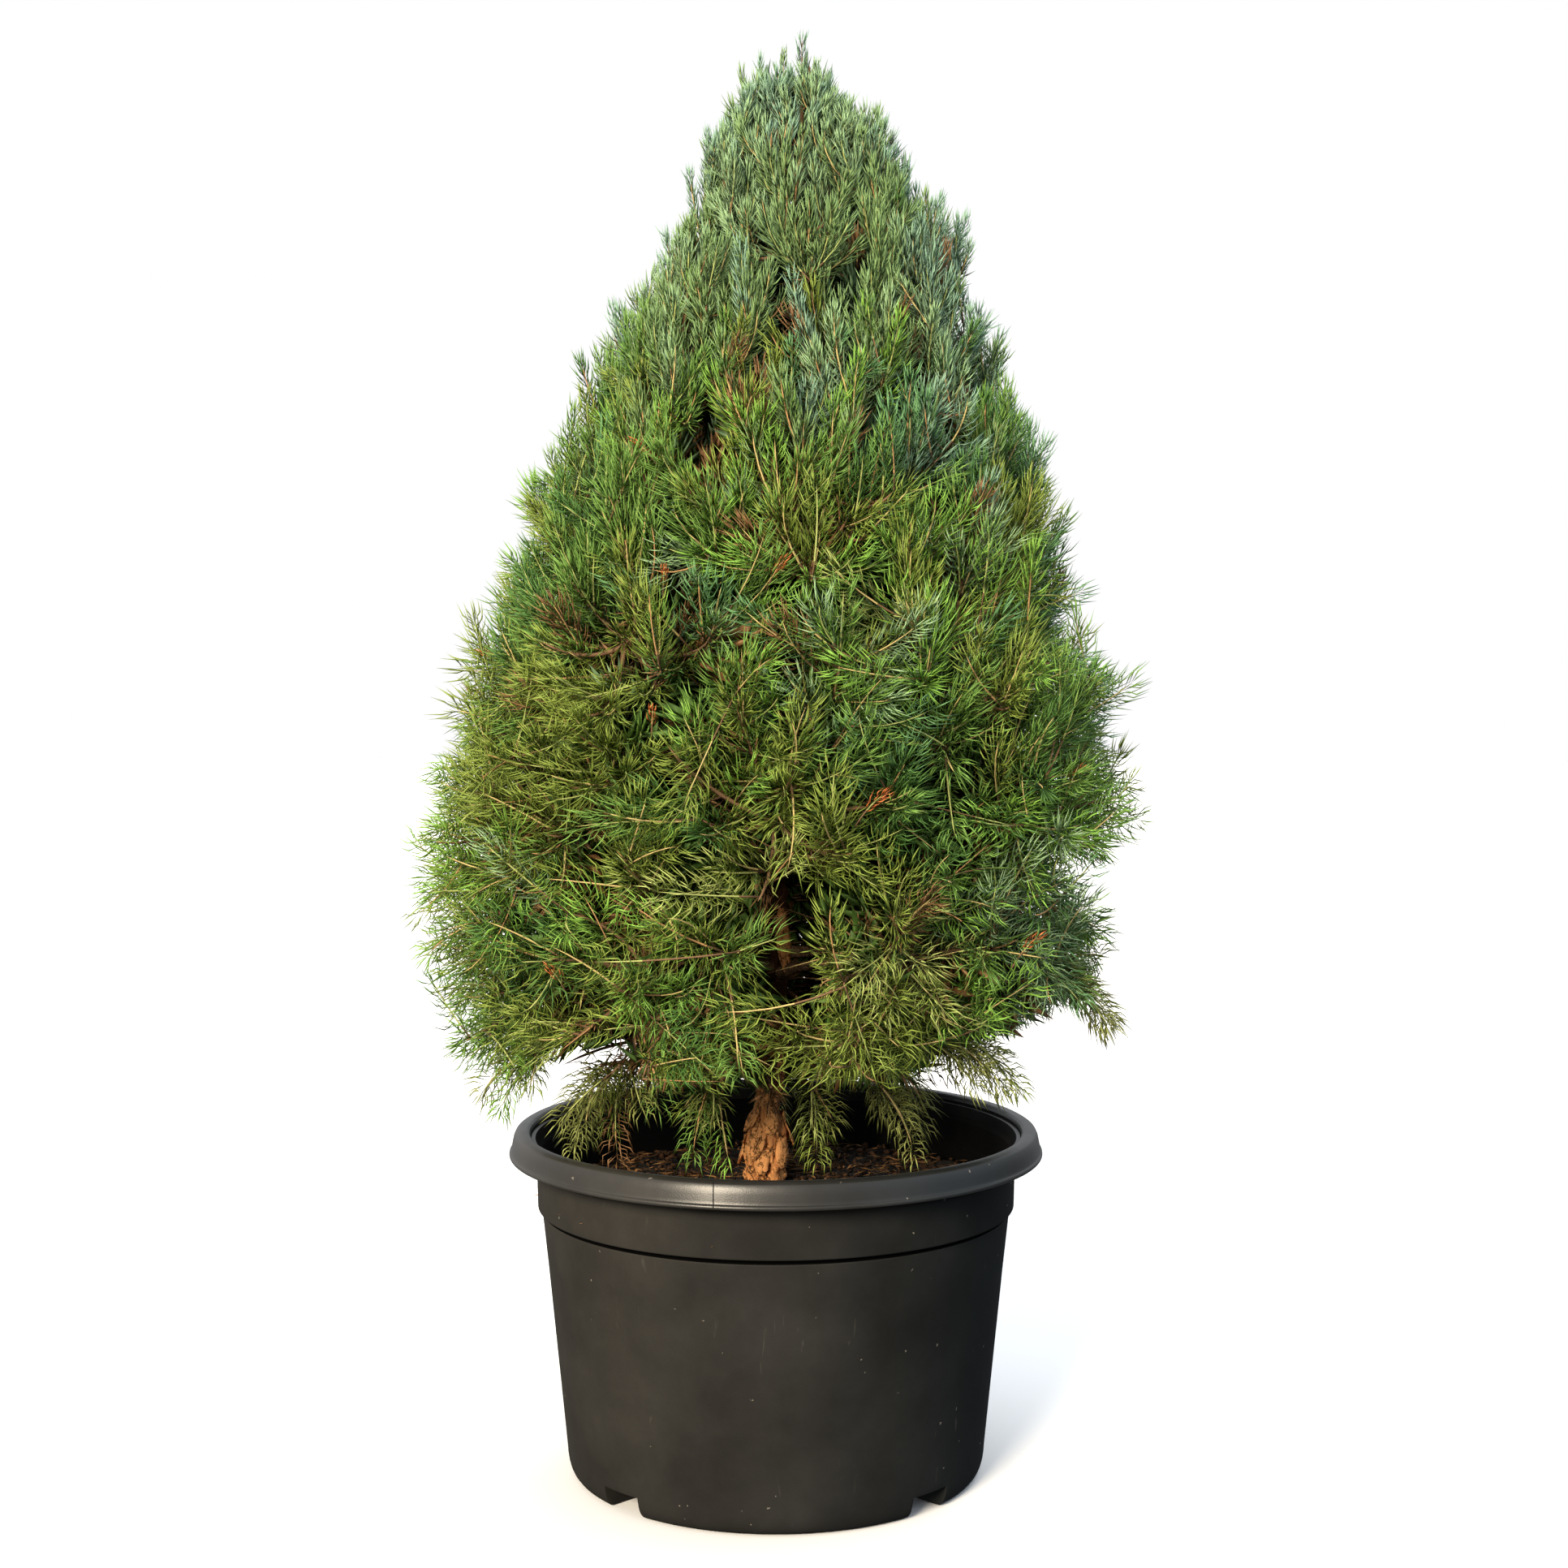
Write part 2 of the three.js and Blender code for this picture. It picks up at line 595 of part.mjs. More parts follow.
function hangerTips() {
  return HANGER_TURNS.map((turn, k) => ({
    z: HANGER_Z + 5 * (k % 3),
    turn,
    radius: HANGER_RADII[k % HANGER_RADII.length],
    elevation: -62,
  }));
}

function tipPoint(tip) {
  const radius = tip.radius ?? crownReach(tip.z, tip.turn) * tip.share;
  return trunkCentre(tip.z).addScaledVector(outward(tip.turn), radius);
}

function growthDirection(tip) {
  const rise = radians(tip.elevation);
  return outward(tip.turn).multiplyScalar(Math.cos(rise)).addScaledVector(UP, Math.sin(rise));
}

function nearestMass(point, among) {
  return among.reduce((best, mass) => (
    point.distanceTo(mass.middle) < point.distanceTo(best.middle) ? mass : best));
}

// Each tip belongs to the mass whose middle is nearest. A shoot that would leave its mass's space
// is drawn in towards the middle, and is skipped if it still would.
function growMass(mass, tips, random) {
  const stem = stemCurve(mass);
  const boughTip = mass.bough ? mass.boughRadiusAt(1) : 4.2;
  const stemRadius = (t) => THREE.MathUtils.lerp(mass.tier ? boughTip : TRUNK_TIP_RADIUS, 1.6, t);
  let solid = solidOf(limbGeometry(stem, stemRadius, 5, 4)).add(coreSolid(mass, random));
  mass.shoots = [];
  for (const tip of tips) {
    const goal = tipPoint(tip);
    const growth = growthDirection(tip);
    for (const drawn of [0, 0.08, 0.16, 0.26]) {
      const end = goal.clone().lerp(mass.middle, drawn);
      const curve = shootCurve(stem, mass, end, growth);
      const size = shootSize(tip.z);
      const bareShare = 1 - THREE.MathUtils.clamp((SHOOT_LENGTH * size) / curve.getLength(), 0.25, 0.8);
      const { geometry, points } = shootGeometry(curve, bareShare, TUFT_ROWS, SHOOT_THICKNESS * size,
        NEEDLE_LENGTH * size);
      const halfways = points.slice(6).map((point) => point.clone().lerp(curve.getPoint(0.5), 0.5));
      const outer = [...points.slice(3), ...halfways];
      if (!outer.every((point) => isFree(point, mass))) continue;
      solid = solid.add(solidOf(geometry));
      mass.shoots.push(curve);
      break;
    }
  }
  return solid;
}

function material(color, roughness) {
  return new THREE.MeshStandardMaterial({ color, roughness, metalness: 0 });
}

const potPlastic = material(0x1f1f1e, 0.55);
const growingMix = material(0x3a2216, 0.95);
const bark = material(0x9a5f38, 0.9);
const twigBark = material(0x8a6a45, 0.85);
const lowNeedles = material(0x5d7a2c, 0.7);
const midNeedles = material(0x4b7038, 0.7);
const topNeedles = material(0x5a7a52, 0.7);

const plant = new THREE.Group();

function addNode(name, solid, look) {
  const mesh = new THREE.Mesh(geometryOf(solid), look);
  mesh.name = name;
  plant.add(mesh);
}

addNode('pot', potSolid(), potPlastic);
addNode('soil', soilSolid(), growingMix);
addNode('trunk', trunkSolid(0), bark);

const trunkRoom = trunkSolid(GAP * 1.1);
let limbRoom = trunkRoom;
for (const mass of masses) {
  if (!mass.bough) continue;
  const limb = limbGeometry(mass.bough, mass.boughRadiusAt, BOUGH_SIDES, BOUGH_STEPS);
  const name = `${mass.tier.name}_bough_${mass.index}`;
  addNode(name, mainBody(solidOf(limb).subtract(trunkRoom)), twigBark);
  const roomRadiusAt = (t) => mass.boughRadiusAt(t) + GAP * 1.2;
  limbRoom = limbRoom.add(solidOf(
    limbGeometry(boughCurve(mass, GAP), roomRadiusAt, BOUGH_SIDES, BOUGH_STEPS)));
}

const skirtMasses = masses.filter((mass) => mass.tier?.name === 'skirt');
const tipsOf = new Map(masses.map((mass) => [mass, []]));
for (const tip of shootTips(seededStream(SEED))) {
  tipsOf.get(nearestMass(tipPoint(tip), masses)).push(tip);
}
for (const tip of hangerTips()) tipsOf.get(nearestMass(tipPoint(tip), skirtMasses)).push(tip);

const lumpStream = seededStream(SEED + 1);
for (const mass of masses) {
  const solid = growMass(mass, tipsOf.get(mass), lumpStream);
  const look = mass.middle.z < 560 ? lowNeedles : mass.middle.z < 950 ? midNeedles : topNeedles;
  addNode(mass.name, mainBody(mass.tier ? solid.subtract(limbRoom) : solid), look);
}

export default plant;
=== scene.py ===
"""The finish of a young potted lacebark pine: a turned black nursery pot, bark mulch, a flaking
trunk, and the boughs, twigs and needles of its crown. Metres, +Z up, and -Y is the front."""
import math

import bpy
import numpy as np
from bpy.props import FloatProperty, FloatVectorProperty, IntProperty, PointerProperty
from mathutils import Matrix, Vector


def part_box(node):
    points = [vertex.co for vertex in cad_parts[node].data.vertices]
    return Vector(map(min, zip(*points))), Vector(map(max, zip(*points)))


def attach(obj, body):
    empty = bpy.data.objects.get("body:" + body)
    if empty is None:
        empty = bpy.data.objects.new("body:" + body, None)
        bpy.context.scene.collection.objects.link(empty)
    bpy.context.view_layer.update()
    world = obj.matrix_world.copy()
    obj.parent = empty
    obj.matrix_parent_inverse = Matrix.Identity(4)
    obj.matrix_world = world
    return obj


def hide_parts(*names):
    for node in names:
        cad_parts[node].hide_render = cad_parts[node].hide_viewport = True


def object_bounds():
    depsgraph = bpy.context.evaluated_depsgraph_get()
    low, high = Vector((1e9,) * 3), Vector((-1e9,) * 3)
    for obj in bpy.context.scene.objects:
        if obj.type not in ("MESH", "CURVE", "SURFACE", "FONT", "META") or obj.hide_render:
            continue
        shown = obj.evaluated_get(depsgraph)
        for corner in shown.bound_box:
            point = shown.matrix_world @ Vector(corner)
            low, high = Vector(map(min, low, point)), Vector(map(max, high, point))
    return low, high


bl_info = {
    "name": "Potted Lacebark Pine",
    "version": (1, 0, 0),
    "blender": (4, 5, 0),
    "location": "3D View > Sidebar > Pine",
    "description": "Makes the pot, mulch, bark, twigs and needles of a potted lacebark pine",
    "category": "Add Mesh",
}

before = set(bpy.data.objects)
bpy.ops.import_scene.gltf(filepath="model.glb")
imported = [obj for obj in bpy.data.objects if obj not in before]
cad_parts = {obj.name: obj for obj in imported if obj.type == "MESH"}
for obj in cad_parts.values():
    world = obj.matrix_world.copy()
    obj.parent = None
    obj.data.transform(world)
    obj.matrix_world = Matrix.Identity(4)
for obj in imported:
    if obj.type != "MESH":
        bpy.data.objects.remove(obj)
CAD_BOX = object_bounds()

POT_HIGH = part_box("pot")[1]
SOIL_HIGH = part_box("soil")[1]
TRUNK_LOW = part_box("trunk")[0]
BOUGH_NODES = sorted(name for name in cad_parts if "_bough_" in name)
MASS_NODES = sorted(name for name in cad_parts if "_mass" in name)

# The pot's inner ledge under its rim, the innermost ring of its floor, its drain slots, and half
# the width of its two dark lines: the painted shade in the groove under the step, and the mould's
# parting line.
LEDGE_Z = 0.2755
FLOOR_RING = 0.05
SLOT_SIZE = (0.012, 0.026, 0.020)
SLOT_Z = 0.024
GROOVE_SHADE_HALF = 0.0022
PARTING_HALF = 0.0005

# The mulch: its edge, its height there and at the trunk, how far out its heap is level, how wide
# the slope round that is, and how far out things lie on it.
SOIL_EDGE_RADIUS = 0.2172
SOIL_EDGE_Z = 0.261
SOIL_Z = 0.268
HEAP_RADIUS = 0.040
HEAP_SLOPE = 0.120
INNER_WALL = 0.212

# The tree's shape, as in the part's source. The knuckle and the neck are a bulge and a waist of
# the trunk: how deep, at what height, and how far along it.
TRUNK_FOOT_X = -0.012
TREE_TOP = 1.337
TREE_LEAN = 0.036
TRUNK_SWAY = 0.005
TRUNK_TIP_Z = 1.205
TRUNK_TIP_RADIUS = 0.0032
FLARE = 0.005
FLARE_HEIGHT = 0.020
KNUCKLE = (0.0042, 0.306, 0.018)
NECK = (0.0030, 0.350, 0.022)
CROWN_RADIUS = 0.330
CROWN_BELLY_Z = 0.620
CROWN_UNDERSIDE_Z = 0.345
CROWN_UNDER_DROP = 0.370
CROWN_HEIGHT = 0.955
CROWN_TAPER = 1.3
CROWN_ROUNDNESS = 0.8
CROWN_TURN_IN = 3.5
LOWEST_ELEVATION = -30
ELEVATION_SPAN = 115
FULL_SHOOT_RADIUS = 0.150
LEAST_SHOOT_SIZE = 0.42
SKIRT_Z = 0.350
POT_ROOM = 0.012
BOUGH_STAGGER = 0.020
BARE_MIDDLE_SHARE = 0.42
BOX_SLACK = 0.026
LEADER_Z = 1.236
GOLDEN_TURN = 137.508
SEED = 20731

# One line for each tier of masses, from the pot to the tip: name, height of the masses' middles,
# how many stand round the trunk, how far they are turned from the front, their place between the
# trunk and the outline, the radius of their boughs, and how far those rise.
TIERS = [
    ("skirt", 0.388, 5, 0, 0.56, 0.0062, 0.004),
    ("low", 0.492, 6, 30, 0.62, 0.0066, 0.026),
    ("middle", 0.622, 5, 0, 0.60, 0.0064, 0.040),
    ("upper", 0.762, 4, 52, 0.56, 0.0056, 0.052),
    ("shoulder", 0.898, 4, 8, 0.54, 0.0048, 0.058),
    ("high", 1.020, 3, 60, 0.50, None, 0.060),
    ("crest", 1.128, 3, 0, 0.46, None, 0.054),
]

# Where the outline stands out of its even shape or falls short of it: turn and height of each
# swelling, how far it stands out, and half its width in degrees and in height.
SWELLINGS = [
    (90, 1.158, 0.020, 38, 0.030),
    (-90, 1.160, -0.028, 60, 0.060),
    (-90, 0.985, -0.022, 50, 0.050),
    (90, 0.572, -0.062, 28, 0.028),
    (-90, 0.400, 0.024, 50, 0.030),
    (84, 0.384, -0.046, 44, 0.026),
    (-90, 0.520, 0.012, 40, 0.045),
    (94, 0.424, 0.040, 9, 0.009),
    (90, 1.282, -0.032, 60, 0.020),
    (90, 1.255, 0.012, 26, 0.010),
    (-90, 1.225, 0.012, 40, 0.030),
    (90, 0.940, 0.014, 46, 0.100),
    (90, 0.742, 0.024, 40, 0.032),
    (90, 0.632, 0.026, 40, 0.026),
    (90, 0.450, 0.032, 40, 0.024),
    (90, 1.018, -0.012, 36, 0.030),
    (90, 0.850, -0.012, 36, 0.026),
    (90, 0.955, -0.006, 30, 0.040),
    (90, 0.520, -0.012, 20, 0.016),
    (-90, 0.870, -0.012, 50, 0.050),
    (180, 0.620, -0.020, 60, 0.260),
    (-90, 0.474, 0.026, 34, 0.020),
    (-90, 0.600, 0.020, 34, 0.018),
    (-90, 0.832, -0.014, 34, 0.020),
    (-90, 0.755, -0.014, 36, 0.020),
    (-90, 0.680, -0.016, 36, 0.018),
]

# Brown hollows between the tufts, where the withered needles inside show: turn and height of
# each, and half its width in degrees and in height.
HOLLOWS = [
    (20, 0.545, 9, 0.016), (-6, 0.566, 5, 0.024), (-11, 0.690, 4, 0.024), (-19, 0.742, 5, 0.016),
    (-18, 0.790, 4, 0.020), (-38, 0.798, 5, 0.018), (-35, 0.610, 5, 0.018), (33, 0.674, 7, 0.016),
    (45, 0.825, 6, 0.014), (-4, 0.925, 4, 0.014), (84, 0.600, 6, 0.018),
    (112, 0.760, 5, 0.018), (150, 0.640, 6, 0.020), (190, 0.560, 7, 0.018),
    (228, 0.800, 5, 0.020), (262, 0.600, 6, 0.018),
]

# Patches where the outline's own shoots are browned, as for the hollows.
BROWNED = [
    (-46, 0.405, 7, 0.030), (-8, 1.030, 8, 0.050), (5, 1.050, 5, 0.030), (-2, 0.800, 6, 0.020),
    (13, 0.560, 10, 0.020), (118, 1.000, 9, 0.030), (222, 0.680, 8, 0.030),
]

# Patches of painted light and shade, where the outline's shoots are lighter or darker than around
# them: turn and height, half the width in degrees and in height, and by how much.
PAINTED_LIGHT_PATCHES = [
    (6, 0.566, 15, 0.030, -0.45), (2, 0.452, 20, 0.036, -0.75), (35, 0.566, 9, 0.035, 0.50),
    (-4, 0.775, 20, 0.050, 0.28), (-58, 0.770, 22, 0.110, -0.26), (-22, 0.566, 9, 0.028, 0.22),
    (33, 0.634, 8, 0.026, 0.26), (4, 0.495, 15, 0.020, 0.18), (62, 0.490, 15, 0.035, 0.15),
    (-5, 0.915, 36, 0.045, -0.22), (-40, 0.707, 22, 0.050, -0.14), (-35, 0.498, 18, 0.028, -0.20),
    (50, 1.050, 18, 0.040, 0.22), (40, 0.770, 14, 0.030, 0.10), (-12, 0.636, 18, 0.028, -0.12),
    (-60, 0.830, 18, 0.040, -0.14),
]

# Patches where the shoots are warmer or cooler than around them, in the same terms.
HUE_PATCHES = [
    (-4, 0.730, 11, 0.100, 0.13), (15, 0.772, 11, 0.050, 0.34), (-32, 0.950, 13, 0.070, -0.18),
    (-60, 0.500, 30, 0.120, -0.08), (60, 0.600, 30, 0.300, 0.02),
]

# Upright shoots that stand out of the outline near the top: sideways place and height of each tip.
SPIRES = [
    (-0.014, 1.309), (0.007, 1.315), (-0.031, 1.298), (0.037, 1.306), (0.049, 1.291),
    (0.094, 1.264), (0.066, 1.266), (-0.063, 1.243), (-0.079, 1.208), (-0.101, 1.151),
    (0.151, 1.182), (0.174, 1.164), (0.204, 1.054), (-0.148, 1.080), (-0.176, 1.030),
]

# The narrow opening that shows the trunk: its heights, half its width at each, and its middle.
CLEFT_Z = [0.470, 0.480, 0.492, 0.520, 0.534, 0.550, 0.564, 0.586, 0.598]
CLEFT_HALF_WIDTHS = [0.0, 0.012, 0.021, 0.020, 0.009, 0.009, 0.017, 0.014, 0.0]
CLEFT_X = 0.014

# The camera: its place, how far it looks down in radians, its lens and its sensor's width.
EYE = (0.0076, -2.25, 0.778)
EYE_DROP = 0.059
LENS = 55.39
SENSOR_WIDTH = 36

# How low the skirt reaches in front of the pot, as it is seen from EYE: sideways place and
# height, both where the line of sight crosses the trunk's plane.
SKIRT_LINE = [
    (-0.34, 0.395), (-0.300, 0.362), (-0.270, 0.352), (-0.250, 0.354), (-0.216, 0.375),
    (-0.163, 0.398), (-0.146, 0.404), (-0.134, 0.392), (-0.124, 0.350), (0.110, 0.350),
    (0.145, 0.365), (0.160, 0.390), (0.197, 0.396), (0.224, 0.401), (0.257, 0.415),
    (0.272, 0.430), (0.291, 0.434), (0.306, 0.458), (0.320, 0.486),
]

# Loose bark flakes on the trunk: turn, height, length, width, and how far the lower end stands
# off.
FLAKES = [
    (26, 0.500, 0.060, 0.015, 0.013), (22, 0.578, 0.028, 0.017, 0.009),
    (-30, 0.312, 0.034, 0.020, 0.005), (8, 0.330, 0.026, 0.014, 0.005),
    (-62, 0.335, 0.030, 0.014, 0.006), (46, 0.300, 0.028, 0.016, 0.004),
    (-8, 0.292, 0.022, 0.014, 0.004), (100, 0.320, 0.032, 0.018, 0.005),
    (160, 0.305, 0.030, 0.018, 0.005), (215, 0.330, 0.034, 0.016, 0.006),
    (262, 0.300, 0.028, 0.016, 0.005), (-18, 0.352, 0.022, 0.012, 0.004),
]

# Small withered clusters, red brown, between the green tufts: turn and height.
WITHERED = [
    (-22, 0.850), (1, 0.857), (-20, 0.735), (17, 0.666), (-37, 0.516), (46, 0.540), (62, 0.679),
    (-40, 0.963), (104, 0.610), (138, 0.820), (171, 0.520), (205, 0.700), (243, 0.590),
    (284, 0.780),
]

# Sprigs that hang from the skirt: turn from the front, distance of the tip from the trunk's line,
# height of the tip, length, how steeply it hangs, and how far it swings aside.
HANGERS = [
    (-55, 0.212, 0.322, 0.100, 58, -22),
    (-48, 0.178, 0.314, 0.104, 74, 10),
    (-60, 0.190, 0.330, 0.080, 66, 6),
    (-48, 0.155, 0.372, 0.066, 80, 0),
    (-42, 0.150, 0.362, 0.070, 76, 6),
    (-31, 0.128, 0.312, 0.092, 72, -8),
    (-17, 0.108, 0.304, 0.092, 66, 12),
    (26, 0.104, 0.310, 0.076, 82, 4),
    (54, 0.166, 0.314, 0.092, 60, 16),
    (56, 0.252, 0.380, 0.098, 38, 11),
    (50, 0.238, 0.383, 0.092, 42, 12),
    (61, 0.256, 0.377, 0.094, 40, 10),
    (66, 0.228, 0.372, 0.086, 40, 6),
    (68, 0.322, 0.434, 0.098, 40, 7),
    (72, 0.320, 0.438, 0.092, 36, 5),
    (80, 0.312, 0.424, 0.090, 44, 4),
    (-76, 0.272, 0.366, 0.080, 36, -6),
    (-68, 0.262, 0.354, 0.074, 48, 4),
    (108, 0.156, 0.310, 0.090, 62, 0),
    (141, 0.176, 0.304, 0.090, 64, 8),
    (176, 0.124, 0.308, 0.086, 70, -8),
    (214, 0.112, 0.313, 0.090, 66, 10),
    (252, 0.158, 0.304, 0.092, 62, -6),
]


def clamp(value, least=0, most=1):
    return min(max(value, least), most)


def shaded(colour, share):
    return tuple(min(share * c, 1) for c in colour)


def clear_selection():
    if bpy.context.object and bpy.context.object.mode != "OBJECT":
        bpy.ops.object.mode_set(mode="OBJECT")
    bpy.ops.object.select_all(action="DESELECT")


def select_only(piece):
    clear_selection()
    piece.select_set(True)
    bpy.context.view_layer.objects.active = piece


def name_piece(piece, name):
    piece.name = name
    piece.data.name = name
    return piece


def keep_place():
    """Puts the selected object's place into its mesh."""
    bpy.ops.object.transform_apply(location=True, rotation=True, scale=True)


def settle(piece, nodes):
    """Puts a finished piece on the plant's body, in place of its nodes."""
    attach(piece, "root")
    if nodes:
        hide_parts(*nodes)


# Materials.


def new_material(name, colour, roughness, gloss=0.5):
    material = bpy.data.materials.new(name)
    material.use_nodes = True
    shader = material.node_tree.nodes["Principled BSDF"]
    shader.inputs["Base Color"].default_value = (*colour, 1)
    shader.inputs["Roughness"].default_value = roughness
    shader.inputs["Specular IOR Level"].default_value = gloss
    material.diffuse_color = (*colour, 1)
    return material, material.node_tree, shader


def add_node(tree, kind, sockets=None, **settings):
    """A node with its settings, each socket given a number, a colour or another node's output."""
    node = tree.nodes.new(kind)
    for key, value in settings.items():
        setattr(node, key, value)
    for key, value in (sockets or {}).items():
        if isinstance(value, bpy.types.NodeSocket):
            tree.links.new(value, node.inputs[key])
        else:
            node.inputs[key].default_value = value
    return node


def placed(tree, stretch=(1, 1, 1)):
    """Object coordinates, stretched so that a pattern follows the piece's own grain."""
    own = add_node(tree, "ShaderNodeTexCoord").outputs["Object"]
    mapping = add_node(tree, "ShaderNodeMapping", {"Vector": own, "Scale": stretch})
    return mapping.outputs["Vector"]


def noise(tree, vector, scale, detail=4.0, roughness=0.55, distortion=0.0):
    return add_node(tree, "ShaderNodeTexNoise", {
        "Vector": vector, "Scale": scale, "Detail": detail, "Roughness": roughness,
        "Distortion": distortion}).outputs["Fac"]


def ramp(tree, factor, *stops):
    """A colour ramp from stops of (position, colour)."""
    node = add_node(tree, "ShaderNodeValToRGB", {"Fac": factor})
    band = node.color_ramp
    while len(band.elements) < len(stops):
        band.elements.new(0.5)
    for element, (position, colour) in zip(band.elements, stops):
        element.position = position
        element.color = (*colour, 1)
    return node.outputs["Color"]


def mask(tree, value, low, high):
    """0 below low, 1 above high, even between them."""
    return add_node(tree, "ShaderNodeMapRange", {
        "Value": value, "From Min": low, "From Max": high}).outputs["Result"]


def blend_colours(tree, factor, first, second):
    node = tree.nodes.new("ShaderNodeMix")
    node.data_type = "RGBA"
    tree.links.new(factor, node.inputs[0])
    for socket, value in ((node.inputs[6], first), (node.inputs[7], second)):
        if isinstance(value, bpy.types.NodeSocket):
            tree.links.new(value, socket)
        else:
            socket.default_value = (*value, 1)
    return node.outputs[2]


def maths(tree, operation, *values, kind="ShaderNodeMath", output=0):
    return add_node(tree, kind, dict(enumerate(values)), operation=operation).outputs[output]


def vector_maths(tree, operation, *values, output="Vector"):
    return maths(tree, operation, *values, kind="ShaderNodeVectorMath", output=output)


def sum_of(tree, first, second, share):
    return maths(tree, "MULTIPLY_ADD", second, share, first)


def product(tree, first, second):
    return maths(tree, "MULTIPLY", first, second)


def strayed(tree, vector, scale, detail, roughness, amount):
    """A vector pushed about by fine noise, so that cells on it have crooked edges."""
    stray = add_node(tree, "ShaderNodeTexNoise", {
        "Vector": vector, "Scale": scale, "Detail": detail, "Roughness": roughness})
    return vector_maths(tree, "MULTIPLY_ADD", stray.outputs["Color"], (amount,) * 3, vector)


def coordinates(tree, vector):
    return add_node(tree, "ShaderNodeSeparateXYZ", {"Vector": vector}).outputs


def bump(tree, shader, height, strength, distance):
    node = add_node(tree, "ShaderNodeBump", {"Height": height, "Strength": strength,
                                             "Distance": distance})
    tree.links.new(node.outputs["Normal"], shader.inputs["Normal"])


def pot_plastic(settings, name, roughness, gloss):
    """Black moulded plastic, a little worn: cloudy sheen, dust specks, short scuffs, and the
    mould's parting line across the rim. Painted light and shade make it lighter and warmer to the
    left and darker and bluer to the right, and paint dark bands under the step and under the rim's
    lip."""
    plastic = settings.plastic_colour
    material, tree, shader = new_material(name, plastic, roughness, gloss)
    at = placed(tree)
    cloudy = noise(tree, at, 9.0, 5.0, 0.6)
    worn = ramp(tree, cloudy, (0.32, shaded(plastic, 0.7)), (0.52, plastic),
                (0.74, shaded(plastic, 1.4)))
    cells = add_node(tree, "ShaderNodeTexVoronoi", {
        "Vector": strayed(tree, at, 260.0, 2.0, 0.5, 0.006), "Scale": 62.0, "Randomness": 1.0})
    speck = mask(tree, cells.outputs["Distance"], 0.078, 0.045)
    sparse = mask(tree, noise(tree, at, 33.0, 2.0), 0.50, 0.54)
    axes = coordinates(tree, at)
    # Painted light and shade: the plastic's colour is made lighter and warmer to the left, where
    # the key light falls, and darker and bluer to the right. The worn colour carries this painted
    # light from here on.
    painted_side_light = ramp(tree, mask(tree, axes["X"], -0.22, 0.22), (0.0, settings.lit_side_tint),
                    (0.55, (1, 1, 0.95)), (1.0, settings.shaded_side_tint))
    worn = vector_maths(tree, "MULTIPLY", worn, painted_side_light)
    dusty_and_side_lit = blend_colours(tree, product(tree, speck, sparse), worn, settings.dust_colour)
    streaks = noise(tree, placed(tree, (1.6, 1.6, 0.22)), 60.0, 3.0, 0.7, 0.6)
    scuff = product(tree, mask(tree, streaks, 0.66, 0.80), mask(tree, cloudy, 0.48, 0.66))
    scuffed_and_side_lit = blend_colours(tree, product(tree, scuff, mask(tree, streaks, 0.2, 1.6)), dusty_and_side_lit,
                            settings.dust_colour)
    aside = maths(tree, "ADD", axes["X"], -settings.parting_x)
    parting = maths(tree, "COMPARE", aside, 0.0, PARTING_HALF)
    in_front = mask(tree, axes["Y"], 0.0, -0.001)
    lip = settings.lip_height
    line = product(tree, product(tree, parting, in_front),
                   mask(tree, axes["Z"], lip + 0.001, lip + 0.002))
    # Painted shade: a dark band in the groove under the step, and one on the wall under the rim's
    # lip. They join the parting line in the colour's dark lines.
    step_groove_shade = maths(tree, "COMPARE", axes["Z"], settings.step_height - 0.0012, GROOVE_SHADE_HALF)
    under_lip_shade = product(tree, mask(tree, axes["Z"], lip - 0.011, lip - 0.003),
                        mask(tree, axes["Z"], lip, lip - 0.0005))
    line = sum_of(tree, sum_of(tree, line, step_groove_shade, 1.0), under_lip_shade, 0.8)
    lines_and_painted_light = blend_colours(tree, line, scuffed_and_side_lit, (0.0, 0.0, 0.0))
    tree.links.new(lines_and_painted_light, shader.inputs["Base Color"])
    rough = mask(tree, sum_of(tree, line, cloudy, 0.18), 0.09 - roughness, 1.09 - roughness)
    tree.links.new(rough, shader.inputs["Roughness"])
    grain = noise(tree, at, 900.0, 2.0)
    waves = noise(tree, placed(tree, (1, 1, 0.35)), 26.0, 2.0)
    bump(tree, shader, sum_of(tree, grain, waves, 6.0), 0.14, 0.0006)
    return material


def mulch_material(settings):
    colour = settings.mulch_colour
    material, tree, shader = new_material("bark_mulch", colour, 0.95)
    lumps = noise(tree, placed(tree), 130.0, 6.0, 0.7)
    tones = ramp(tree, lumps, (0.3, shaded(colour, 0.25)), (0.52, colour),
                 (0.72, shaded(colour, 1.9)))
    tree.links.new(tones, shader.inputs["Base Color"])
    bump(tree, shader, lumps, 0.9, 0.004)
    return material


def plain_wood(name, colour):
    """Wood too small for a pattern: its colours are dealt out piece by piece."""
    return new_material(name, colour, 0.85, 0.25)[0]


